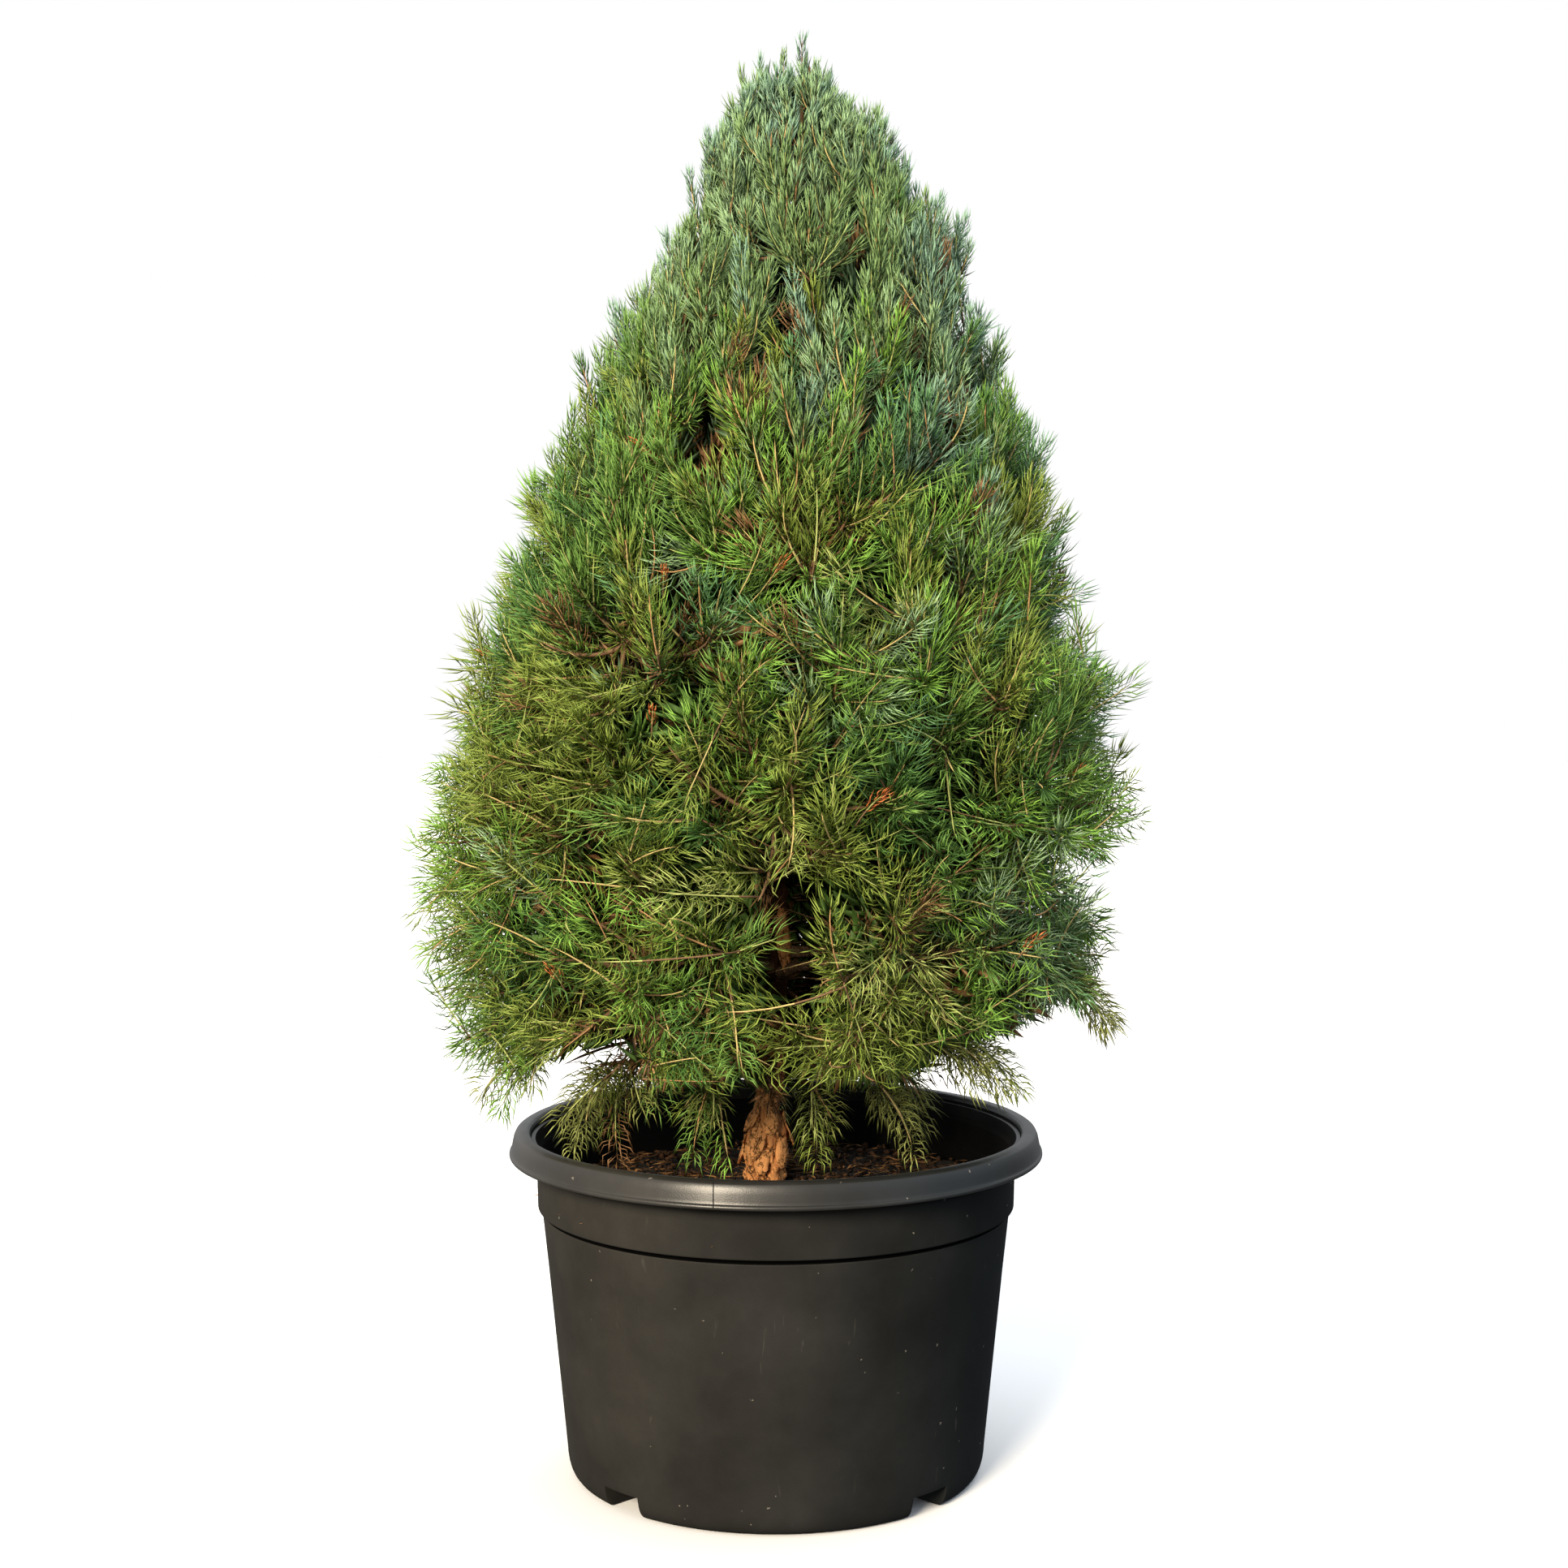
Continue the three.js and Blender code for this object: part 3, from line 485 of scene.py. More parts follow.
def bark_material(name, plate, flake, crack, scale, painted_shade_from=None):
    """Flaking bark: uneven upright plates with pale worn faces, and dark cracks between them.
    Above a given height, when one is given, it is painted dark as shade from the crown, without
    flakes."""
    material, tree, shader = new_material(name, plate, 0.9, 0.12)
    upright = placed(tree, (1, 1, 0.55))
    cells = add_node(tree, "ShaderNodeTexVoronoi", {
        "Vector": strayed(tree, upright, scale * 1.2, 4.0, 0.65, 0.020), "Scale": scale,
        "Randomness": 1.0}, feature="DISTANCE_TO_EDGE")
    wander = noise(tree, upright, scale * 0.8, 7.0, 0.72, 0.5)
    tone = ramp(tree, wander, (0.28, crack), (0.40, plate), (0.56, flake), (0.70, flake),
                (0.82, plate))
    if painted_shade_from:
        height = coordinates(tree, placed(tree))["Z"]
        tone = blend_colours(tree, mask(tree, height, painted_shade_from, painted_shade_from + 0.05), tone,
                             shaded(crack, 1.4))
    pits = mask(tree, noise(tree, upright, scale * 1.9, 5.0, 0.75, 1.0), 0.34, 0.42)
    edges = mask(tree, cells.outputs["Distance"], 0.0, 0.05)
    solid_part = product(tree, pits, edges)
    tree.links.new(blend_colours(tree, solid_part, crack, tone), shader.inputs["Base Color"])
    bump(tree, shader, sum_of(tree, wander, solid_part, 1.1), 0.8, 0.0020)
    return material


def needle_tints(name, colour):
    """Three plain tints of one needle colour: near to it, pale and dull. The pale tint is partly
    painted light on the shoots' tips, and the dull one partly painted shade at their roots.
    """
    return [new_material(name + suffix, [min(c * light + grey, 1) for c in colour], 0.5, 0.22)[0]
            for suffix, light, grey in (("", 0.81, 0.0), ("_pale", 1.34, 0.018),
                                        ("_dull", 0.32, 0.0))]


# Shaping by hand.


def draw_out(name, sides, centres, radii, level=False):
    """A disc drawn out ring by ring along a centre line, its rings level or square to the line's
    chord, and closed with its faces outwards."""
    clear_selection()
    chord = Vector(centres[-1] - centres[0])
    turn = (0, 0, 0) if level else chord.to_track_quat("Z", "Y").to_euler()
    bpy.ops.mesh.primitive_circle_add(vertices=sides, radius=radii[0], fill_type="NGON",
                                      location=centres[0], rotation=turn)
    piece = name_piece(bpy.context.object, name)
    bpy.ops.object.mode_set(mode="EDIT")
    bpy.ops.mesh.select_mode(type="FACE")
    bpy.ops.mesh.select_all(action="SELECT")
    for k in range(1, len(centres)):
        bpy.ops.mesh.extrude_region_move(
            TRANSFORM_OT_translate={"value": tuple(centres[k] - centres[k - 1])})
        share = radii[k] / radii[k - 1]
        bpy.ops.transform.resize(value=(share, share, 1 if level else share),
                                 center_override=tuple(centres[k]))
    bpy.ops.mesh.select_all(action="SELECT")
    bpy.ops.mesh.remove_doubles(threshold=1e-6)
    bpy.ops.mesh.normals_make_consistent(inside=False)
    bpy.ops.object.mode_set(mode="OBJECT")
    keep_place()
    return piece


def turn_profile(name, sides, profile):
    """A shell turned about the upright axis from a profile of (radius, height)."""
    radii, heights = zip(*profile)
    return draw_out(name, sides, [np.array([0.0, 0.0, z]) for z in heights], radii, level=True)


def apply_modifier(piece, kind, name, **settings):
    select_only(piece)
    modifier = piece.modifiers.new(name, kind)
    for key, value in settings.items():
        setattr(modifier, key, value)
    bpy.ops.object.modifier_apply(modifier=modifier.name)


def rough_texture(name, kind, size, **settings):
    texture = bpy.data.textures.new(name, kind)
    texture.noise_scale = size
    for key, value in settings.items():
        setattr(texture, key, value)
    return texture


def upright_grain(stretch):
    """A marker whose stretched axes draw a texture out along the trunk."""
    marker = bpy.data.objects.new("grain", None)
    bpy.context.scene.collection.objects.link(marker)
    marker.scale = (1, 1, stretch)
    bpy.context.view_layer.update()
    return marker


# Meshes from arrays, for what is repeated by the thousand.


def mesh_from_arrays(name, points, faces, materials, looks=None, smooth=True):
    """One joined mesh of triangles, with a material index for each face."""
    mesh = bpy.data.meshes.new(name)
    mesh.vertices.add(len(points))
    mesh.vertices.foreach_set("co", np.ascontiguousarray(points, np.float32).ravel())
    mesh.loops.add(faces.size)
    mesh.loops.foreach_set("vertex_index", np.ascontiguousarray(faces, np.int32).ravel())
    mesh.polygons.add(len(faces))
    mesh.polygons.foreach_set("loop_start", np.arange(0, faces.size, 3, dtype=np.int32))
    for material in materials:
        mesh.materials.append(material)
    if looks is not None:
        mesh.polygons.foreach_set("material_index", np.ascontiguousarray(looks, np.int32))
    mesh.update(calc_edges=True)
    if smooth:
        mesh.shade_smooth()
    piece = bpy.data.objects.new(name, mesh)
    bpy.context.scene.collection.objects.link(piece)
    return piece


def unit(vectors):
    return vectors / np.maximum(np.linalg.norm(vectors, axis=-1, keepdims=True), 1e-12)


def square_to(axes, facing=(0.0, 0.0, 1.0)):
    """Two directions square to each axis and to each other, the first square to facing too."""
    level = np.cross(axes, np.asarray(facing, float))
    steep = np.linalg.norm(level, axis=-1, keepdims=True) < 0.15
    level = np.where(steep, np.cross(axes, np.array([1.0, 0.0, 0.0])), level)
    first = unit(level)
    return first, np.cross(first, axes)


def along_curve(controls, t):
    """Points and directions of a Bezier curve at an array of shares of its way."""
    t = np.asarray(t, float)[:, None]
    points = [np.broadcast_to(np.asarray(c, float), (len(t), 3)) for c in controls]
    ahead = points[-1] - points[0]
    while len(points) > 1:
        if len(points) == 2:
            ahead = points[1] - points[0]
        points = [a * (1 - t) + b * t for a, b in zip(points, points[1:])]
    return points[0], unit(ahead)


def curve_length(controls):
    points, _ = along_curve(controls, np.linspace(0, 1, 9))
    return float(np.linalg.norm(np.diff(points, axis=0), axis=1).sum())


def tapering_tube(controls, root_radius, tip_radius, sides, steps):
    """Points and triangles of a twig that tapers to a point, closed at both ends."""
    t = np.linspace(0, 1, steps + 1)
    centres, axes = along_curve(controls, t)
    across, aside = square_to(axes)
    angles = np.arange(sides) * 2 * math.pi / sides
    radii = (root_radius + (tip_radius - root_radius) * t)[:-1]
    spokes = (across[:-1, None] * np.cos(angles)[None, :, None]
              + aside[:-1, None] * np.sin(angles)[None, :, None])
    rings = centres[:-1, None] + spokes * radii[:, None, None]
    points = np.vstack([rings.reshape(-1, 3), centres[-1:], centres[:1]])
    tip, root = len(points) - 2, len(points) - 1
    faces = []
    for s in range(sides):
        n = (s + 1) % sides
        faces.append((root, s, n))
        for k in range(steps - 1):
            a, b = k * sides + s, k * sides + n
            faces += [(a, a + sides, b), (b, a + sides, b + sides)]
        last = (steps - 1) * sides
        faces.append((last + s, tip, last + n))
    return points, np.array(faces)


def join_arrays(parts):
    """Stacks (points, faces) pairs into one."""
    points, faces, start = [], [], 0
    for part_points, part_faces in parts:
        points.append(part_points)
        faces.append(part_faces + start)
        start += len(part_points)
    return np.vstack(points), np.vstack(faces)


# The tree's growth, by the rule of the part's source.


def outward(turn):
    """The level direction turned so many degrees from the front, towards +X."""
    return np.array([math.sin(math.radians(turn)), -math.cos(math.radians(turn)), 0.0])


def trunk_centre(z):
    share = (z - SOIL_Z) / (TREE_TOP - SOIL_Z)
    sway = TRUNK_SWAY * math.sin(share * math.pi * 3)
    return np.array([TRUNK_FOOT_X + TREE_LEAN * share + sway, sway / 2, z])


def trunk_radius(z, foot_radius):
    share = max((z - SOIL_Z) / (TRUNK_TIP_Z - SOIL_Z), 0)
    taper = foot_radius + (TRUNK_TIP_RADIUS - foot_radius) * share**0.7
    knuckle, neck = (size * math.exp(-(((z - middle) / spread) ** 2))
                     for size, middle, spread in (KNUCKLE, NECK))
    return taper + FLARE * math.exp(-(z - SOIL_Z) / FLARE_HEIGHT) + knuckle - neck


def crown_radius(z):
    if z >= CROWN_BELLY_Z:
        share = min((z - CROWN_BELLY_Z) / (TREE_TOP - CROWN_BELLY_Z), 1)
        return CROWN_RADIUS * (1 - share**CROWN_TAPER) ** CROWN_ROUNDNESS
    drop = (CROWN_BELLY_Z - z) / CROWN_UNDER_DROP
    return CROWN_RADIUS * (1 - drop**CROWN_TURN_IN)


def nearness(turn, z, middle, height, turn_span, z_span):
    """How near a place on the crown is to the middle of a patch on it, from 0 to 1."""
    aside = (turn - middle + 180) % 360 - 180
    return math.exp(-((aside / turn_span) ** 2 + ((z - height) / z_span) ** 2))


def crown_reach(z, turn):
    reach = crown_radius(z)
    for middle, height, out, turn_span, z_span in SWELLINGS:
        reach += out * nearness(turn, z, middle, height, turn_span, z_span)
    return reach


def turn_of(point):
    return math.degrees(math.atan2(point[0], -point[1]))


def height_share(z):
    return clamp((z - CROWN_UNDERSIDE_Z) / CROWN_HEIGHT)


def shoot_elevation(z):
    return LOWEST_ELEVATION + ELEVATION_SPAN * height_share(z) ** 0.8


def shoot_size(z):
    return clamp(crown_radius(z) / FULL_SHOOT_RADIUS, LEAST_SHOOT_SIZE)


def heading(turn, elevation):
    rise = math.radians(elevation)
    return outward(turn) * math.cos(rise) + np.array([0, 0, math.sin(rise)])


def place_masses():
    """Where each mass sits, and the limb that it grows on from."""
    masses = []
    for name, z, count, first_turn, out, bough_radius, rise in TIERS:
        for k in range(count):
            turn = first_turn + k * 360 / count
            reach = crown_radius(z) * out
            middle = trunk_centre(z) + outward(turn) * reach
            mass = {"name": f"{name}_mass_{k + 1}", "middle": middle, "turn": turn,
                    "reach": reach, "bough": None, "tier": name}
            if bough_radius:
                start = trunk_centre(z - rise + BOUGH_STAGGER * ((((k + 1) * 3) % 7) / 3 - 1))
                end = trunk_centre(z - rise * 0.25) + outward(turn) * reach * BARE_MIDDLE_SHARE
                bend = (start + end) / 2 + np.array([0, 0, rise * 0.16])
                mass["bough"] = (start, bend, end)
                mass["bough_radii"] = (bough_radius, bough_radius * 0.62)
            mass["stem"] = stem_of(mass, z, rise)
            masses.append(mass)
    top = trunk_centre(LEADER_Z)
    stem = (trunk_centre(TRUNK_TIP_Z - 0.01), trunk_centre(1.25), trunk_centre(TREE_TOP - 0.045))
    masses.append({"name": "leader_mass", "middle": top, "turn": 0, "reach": 0, "bough": None,
                   "tier": "leader", "stem": stem})
    return masses


def stem_of(mass, z, rise):
    """The stem that a mass grows on, from its bough's tip or the trunk to past its middle."""
    away = outward(mass["turn"])
    end = mass["middle"] + away * mass["reach"] * 0.35
    end[2] += 0.2 * math.sin(math.radians(shoot_elevation(z))) * mass["reach"]
    if mass["bough"]:
        tip, onward = along_curve(mass["bough"], [1.0])
        start = tip[0] - onward[0] * 0.004
        return (start, start + onward[0] * mass["reach"] * 0.25, mass["middle"], end)
    return (trunk_centre(z - rise), mass["middle"], end)


def cleft_depth(points):
    """How far points are inside the narrow opening that shows the trunk: positive is inside."""
    points = np.atleast_2d(points)
    z = points[:, 2]
    half = np.interp(z, CLEFT_Z, CLEFT_HALF_WIDTHS)
    return np.where(points[:, 1] < -0.002, half - np.abs(points[:, 0] - CLEFT_X), -1.0)


def patch_share(point, patches):
    """How far inside one of the patches on the crown a point is, from 0 to 1."""
    turn = turn_of(point - trunk_centre(point[2]))
    return max(nearness(turn, point[2], *patch) for patch in patches)


def patch_change(point, patches):
    """By how much all the patches together change what is at a point."""
    return sum(change * patch_share(point, [patch]) for *patch, change in patches)


def inside_crown(point, slack):
    centre = trunk_centre(point[2])
    away = math.hypot(point[0] - centre[0], point[1] - centre[1])
    reach = crown_reach(max(point[2], CROWN_UNDERSIDE_Z), turn_of(point - centre))
    return point[2] <= TREE_TOP + 0.004 and away <= reach + slack


def clear_of_pot(point):
    over_rim = point[2] > POT_HIGH.z + POT_ROOM
    inside = math.hypot(point[0], point[1]) < INNER_WALL and point[2] > SOIL_Z + POT_ROOM
    return over_rim or inside


def in_own_space(point, mass, masses, overlap):
    """Whether a point is nearer to its own mass's middle than to any other, give or take."""
    middles = np.array([other["middle"] for other in masses if other is not mass])
    own = np.linalg.norm(point - mass["middle"])
    return own - overlap <= np.linalg.norm(middles - point, axis=1).min()


def clear_of_foot(points, room):
    """The trunk's foot shows below the skirt, so nothing stands in front of it."""
    points = np.atleast_2d(points)
    ahead = np.maximum(-points[:, 1], 0)
    return ((np.abs(points[:, 0] - TRUNK_FOOT_X) > 0.024 + room) | (points[:, 1] > 0.012)
            | (points[:, 2] > SKIRT_Z + 0.19 * ahead + room))


def seen_at(points):
    """Where the lines of sight from EYE to points cross the trunk's plane: x and z."""
    points = np.atleast_2d(points)
    nearer = -EYE[1] / (points[:, 1] - EYE[1])
    return (EYE[0] + (points[:, 0] - EYE[0]) * nearer, EYE[2] + (points[:, 2] - EYE[2]) * nearer)


def over_skirt_edge(points):
    """Whether points are over the skirt's underside, which rises outwards, most where it faces
    right, and over the skirt's line."""
    points = np.atleast_2d(points)
    away = np.hypot(points[:, 0], points[:, 1])
    right = np.exp(-(((np.degrees(np.arctan2(points[:, 0], -points[:, 1])) - 56) / 52) ** 2))
    x, z = seen_at(points)
    line = np.interp(x, *np.transpose(SKIRT_LINE))
    underside = SKIRT_Z + np.maximum(away - 0.09, 0) * (0.14 + 0.20 * right)
    return (points[:, 2] > underside) & (z > line)


def may_hold(point, slack):
    """Whether a shoot may pass through a point."""
    return (inside_crown(point, slack) and clear_of_pot(point)
            and over_skirt_edge(point - np.array([0, 0, 0.008]))[0]
            and clear_of_foot(point, 0.012)[0] and cleft_depth(point)[0] < 0)


def over_skirt(curve):
    """Whether the needled part of a shoot keeps over the skirt's edge."""
    return over_skirt_edge(along_curve(curve, [0.4, 0.6, 0.8, 1.0])[0] - [0, 0, 0.010]).all()


def slow_waves(count, shortest, longest, seed):
    """Waves across space, whose sum changes slowly and smoothly from place to place."""
    rng = np.random.default_rng(seed)
    ways = unit(rng.normal(0, 1, (count, 3)))
    waves = ways * (2 * math.pi / rng.uniform(shortest, longest, (count, 1)))
    return waves, rng.uniform(0, 7, count)


def drift(point, waves):
    """The waves' sum at a point, mostly between -1 and 1."""
    return float(np.sin(waves[0] @ point + waves[1]).sum() / math.sqrt(len(waves[1])))


TUFTS = slow_waves(9, 0.060, 0.120, SEED + 11)
WARM_PATCHES = slow_waves(6, 0.16, 0.42, SEED + 12)
LIGHT_PATCHES = slow_waves(6, 0.12, 0.36, SEED + 13)


def spread_tips(count, near, far, tuft, rng):
    """Tips spread evenly over the outline, by area down its height and by the golden angle, at
    shares of its reach from near to far, and further out in the tufts."""
    heights = np.linspace(TREE_TOP - 0.044, CROWN_UNDERSIDE_Z + 0.008, 301)
    radii = np.array([crown_radius(z) for z in heights])
    slant = np.hypot(np.diff(radii), np.diff(heights))
    crowding = np.array([(1 + 1.3 * height_share(z) ** 2) / math.sqrt(shoot_size(z))
                         for z in heights])
    areas = np.concatenate([[0], np.cumsum(((radii + 0.012) * crowding)[1:] * slant)])
    tips = []
    for k in range(count):
        z = float(np.interp(areas[-1] * (k + 0.5) / count, areas, heights))
        turn = k * GOLDEN_TURN + rng.uniform(-1, 1) * 110 / math.sqrt(count)
        share = near + (far - near) * rng.random() ** 0.7
        edge = trunk_centre(z) + outward(turn) * crown_reach(z, turn)
        out = tuft * shoot_size(z) * clamp(drift(edge, TUFTS), -1.5, 1.0)
        away = crown_reach(z, turn) * share + out
        tips.append((trunk_centre(z) + outward(turn) * away, turn))
    return tips


def grow_branchlet(stem, tip, growth):
    """From the stem to the tip, bending into the way that shoots grow there."""
    span = np.asarray(stem[-1]) - np.asarray(stem[0])
    share = float(np.dot(tip - stem[0], span) / np.dot(span, span))
    root = along_curve(stem, [clamp(share - 0.3, 0.2, 0.92)])[0][0]
    length = np.linalg.norm(tip - root)
    bend = (tip - growth * 0.55 * length) * 0.75 + root * 0.25
    return (root, bend, tip)


def growth_at(tip, turn, rng, turn_noise, rise_noise):
    share = height_share(float(tip[2]))
    elevation = (shoot_elevation(float(tip[2])) + 15 * math.sin(math.pi * share**2)
                 + rng.normal(0, rise_noise))
    return heading(turn + rng.normal(0, turn_noise), elevation)


def nearest_to(point, points):
    return int(np.argmin(np.linalg.norm(points - point, axis=1)))


def grow_crown(settings, rng):
    """Branchlets from each mass's stem, and the shoots that each of them carries."""
    masses = place_masses()
    middles = np.array([mass["middle"] for mass in masses])
    branchlets, shoots = [], []
    for tip, turn in spread_tips(settings.spray_count, 0.80, 0.93, 0.010, rng):
        mass = masses[nearest_to(tip, middles)]
        curve = grow_branchlet(mass["stem"], tip, growth_at(tip, turn, rng, 14, 9))
        way = along_curve(curve, np.linspace(0.1, 1, 9))[0]
        if not (clear_of_foot(way, 0.006) & over_skirt_edge(way + [0, 0, 0.006])).all():
            continue
        branchlets.append({"curve": curve, "z": float(tip[2]), "mass": mass})
    leader = masses[-1]
    top = trunk_centre(TREE_TOP - 0.005)
    branchlets.append({"curve": grow_branchlet(leader["stem"], top, np.array([0, 0, 1.0])),
                       "z": TREE_TOP, "mass": leader})
    ways = np.linspace(0.2, 1.0, 9)
    forks = np.vstack([along_curve(b["curve"], ways)[0] for b in branchlets])
    for k, branchlet in enumerate(branchlets):
        size = shoot_size(branchlet["z"])
        length = curve_length(branchlet["curve"])
        lead = min(settings.shoot_length * size * rng.uniform(0.85, 1.1), 0.85 * length)
        if may_hold(branchlet["curve"][2], 0.016) and lets_through(branchlet["curve"][2], rng):
            shoots.append(new_shoot(cut_curve(branchlet["curve"], 1 - lead / length), size, k,
                                    lead, "leading", rng))
    for layer, count, near, far, tuft in (("outer", settings.shoot_count, 0.83, 0.985, 0.013),
                                          ("inner", settings.inner_count, 0.50, 0.78, 0),
                                          ("core", settings.core_count, 0.15, 0.48, 0)):
        for tip, turn in spread_tips(count, near, far, tuft, rng):
            size = shoot_size(float(tip[2]))
            reach = settings.shoot_length * size * rng.uniform(0.78, 1.15)
            growth = growth_at(tip, turn, rng, 34, 32 - 20 * height_share(float(tip[2])))
            nearest = nearest_to(tip - growth * reach * 0.92, forks)
            k = nearest // len(ways)
            curve = grow_shoot(forks[nearest], tip, growth, branchlets[k]["mass"], masses)
            if curve is not None and (not tuft or lets_through(tip, rng)):
                hollow = layer == "inner" and patch_share(tip, HOLLOWS) > 0.2
                shoots.append(new_shoot(curve, size, k, reach, "withered" if hollow else layer,
                                        rng))
    for x, z in SPIRES:
        tip = np.array([x, rng.uniform(-0.3, 0.1) * crown_radius(z), z])
        root = tip * [0.86, 0.9, 1] - [0, 0, 0.066]
        shoots.append(new_shoot((root, (root + tip) / 2 + (tip - root) * [0.2, 0.2, 0], tip),
                                0.8, len(branchlets) - 1, 0.058, "leading", rng))
    for _ in range(settings.backing_count):
        z, turn = rng.uniform(0.355, 1.0), rng.uniform(110, 250)
        tip = trunk_centre(z) + outward(turn) * rng.uniform(0.15, 0.75) * crown_radius(z)
        root = trunk_centre(z) + outward(turn) * 0.02
        shoots.append(new_shoot((root, (root + tip) / 2, tip), 1.0, 0, 0.08, "core", rng))
    hang_sprigs(masses, middles, branchlets, shoots, rng)
    for turn, z in WITHERED:
        tip = trunk_centre(z) + outward(turn) * crown_reach(z, turn) * 0.95
        root = tip - heading(turn + rng.normal(0, 30), 58) * 0.045
        shoots.append(new_shoot((root, (root + tip) / 2, tip - [0, 0, 0.012]), 1.0,
                                len(branchlets), 0.024, "rusty", rng))
    return masses, branchlets, shoots


def lets_through(tip, rng):
    """Few of the outline's shoots stand in a hollow or in the valleys between the tufts."""
    valley = 0.5 if drift(tip, TUFTS) < -1.0 else 0.0
    hollow = 0.94 * min(1.7 * patch_share(tip, HOLLOWS), 1)
    return rng.random() > max(valley, hollow)


def hang_sprigs(masses, middles, branchlets, shoots, rng):
    """The sprigs that droop from the skirt into the pot and over its rim, each with two sprigs
    beside its root."""
    for turn, away, z, length, steep, aside in HANGERS:
        tip = trunk_centre(z) + outward(turn) * away
        mass = masses[nearest_to(tip, middles)]
        root = tip - heading(turn + aside * 3, -steep) * length
        bend = (root + tip) / 2 + outward(turn) * 0.16 * length + np.array([0, 0, 0.10 * length])
        spray = len(branchlets)
        shoots.append(new_shoot((root, bend, tip), 1.0, spray, length * 0.86, "hanging", rng))
        for side in (-1, 1):
            start = along_curve((root, bend, tip), [0.12])[0][0]
            onward = heading(turn + aside * 3 + side * rng.uniform(30, 60), -steep * 0.7)
            end = start + onward * length * rng.uniform(0.45, 0.62)
            middle = (start + end) / 2 + np.array([0, 0, 0.06 * length])
            if clear_of_pot(end) and clear_of_foot(end, 0.016)[0]:
                shoots.append(new_shoot((start, middle, end), 0.9, spray, length * 0.5, "hanging",
                                        rng))
        stem_point = along_curve(mass["stem"], [0.55])[0][0]
        above = root + (stem_point - root) * [0.35, 0.35, 0] + [0, 0, 0.075]
        branchlets.append({"curve": (above, root + [0, 0, 0.045], root), "z": TREE_TOP,
                           "mass": mass})


def cut_curve(controls, start):
    """The last part of a quadratic curve, as a quadratic curve of its own."""
    bend, last = (np.asarray(c, float) for c in controls[1:])
    point = along_curve(controls, [start])[0][0]
    return (point, bend * (1 - start) + last * start, last)


def grow_shoot(fork, goal, growth, mass, masses):
    """A shoot from a branchlet's fork that turns into the growth direction, drawn in until it
    keeps to the crown and to its mass's space, and skipped if it can't."""
    for drawn in (0, 0.08, 0.16, 0.26):
        tip = goal * (1 - drawn) + mass["middle"] * drawn
        length = np.linalg.norm(tip - fork)
        bend = 0.72 * (tip - growth * 0.5 * length) + 0.28 * (fork + tip) / 2
        if (may_hold(tip, 0.016) and may_hold(bend, 0.016) and over_skirt((fork, bend, tip))
                and in_own_space(tip, mass, masses, 0.06)):
            return (fork, bend, tip)
    return None


def new_shoot(curve, size, spray, reach, layer, rng):
    """A shoot's curve with all that its needles need to know."""
    tip = np.asarray(curve[2])
    length = curve_length(curve)
    return {"curve": curve, "size": size, "spray": spray, "layer": layer, "tip": tip,
            "luck": rng.random(4), "length": length, "bare": max(1 - reach / length, 0.06)}


# Each layer's needles: their number, width and length against those of the outline's shoots.
LAYERS = {"leading": (1.0, 1.0, 1.0), "outer": (1.0, 1.0, 1.0), "hanging": (1.75, 1.0, 0.92),
          "inner": (0.56, 2.7, 1.3), "core": (0.46, 4.0, 1.3), "withered": (1.2, 0.9, 0.8),
          "rusty": (0.9, 0.85, 0.42)}

# How far needles lean off their shoot in degrees, at its root and at its tip, each low in the
# crown and at its top.
ROOT_LEAN = (72, 26)
TIP_LEAN = (36, 13)

# Needles are pale towards their shoot's tip and dull towards its root, by their freshness, and as
# painted light at the tip and painted shade at the root.
PALE_FROM = 0.84
DULL_TO = 0.44


def turned(first, second, angles):
    """Directions turned from the first ones towards the second by angles in radians."""
    return first * np.cos(angles)[:, None] + second * np.sin(angles)[:, None]


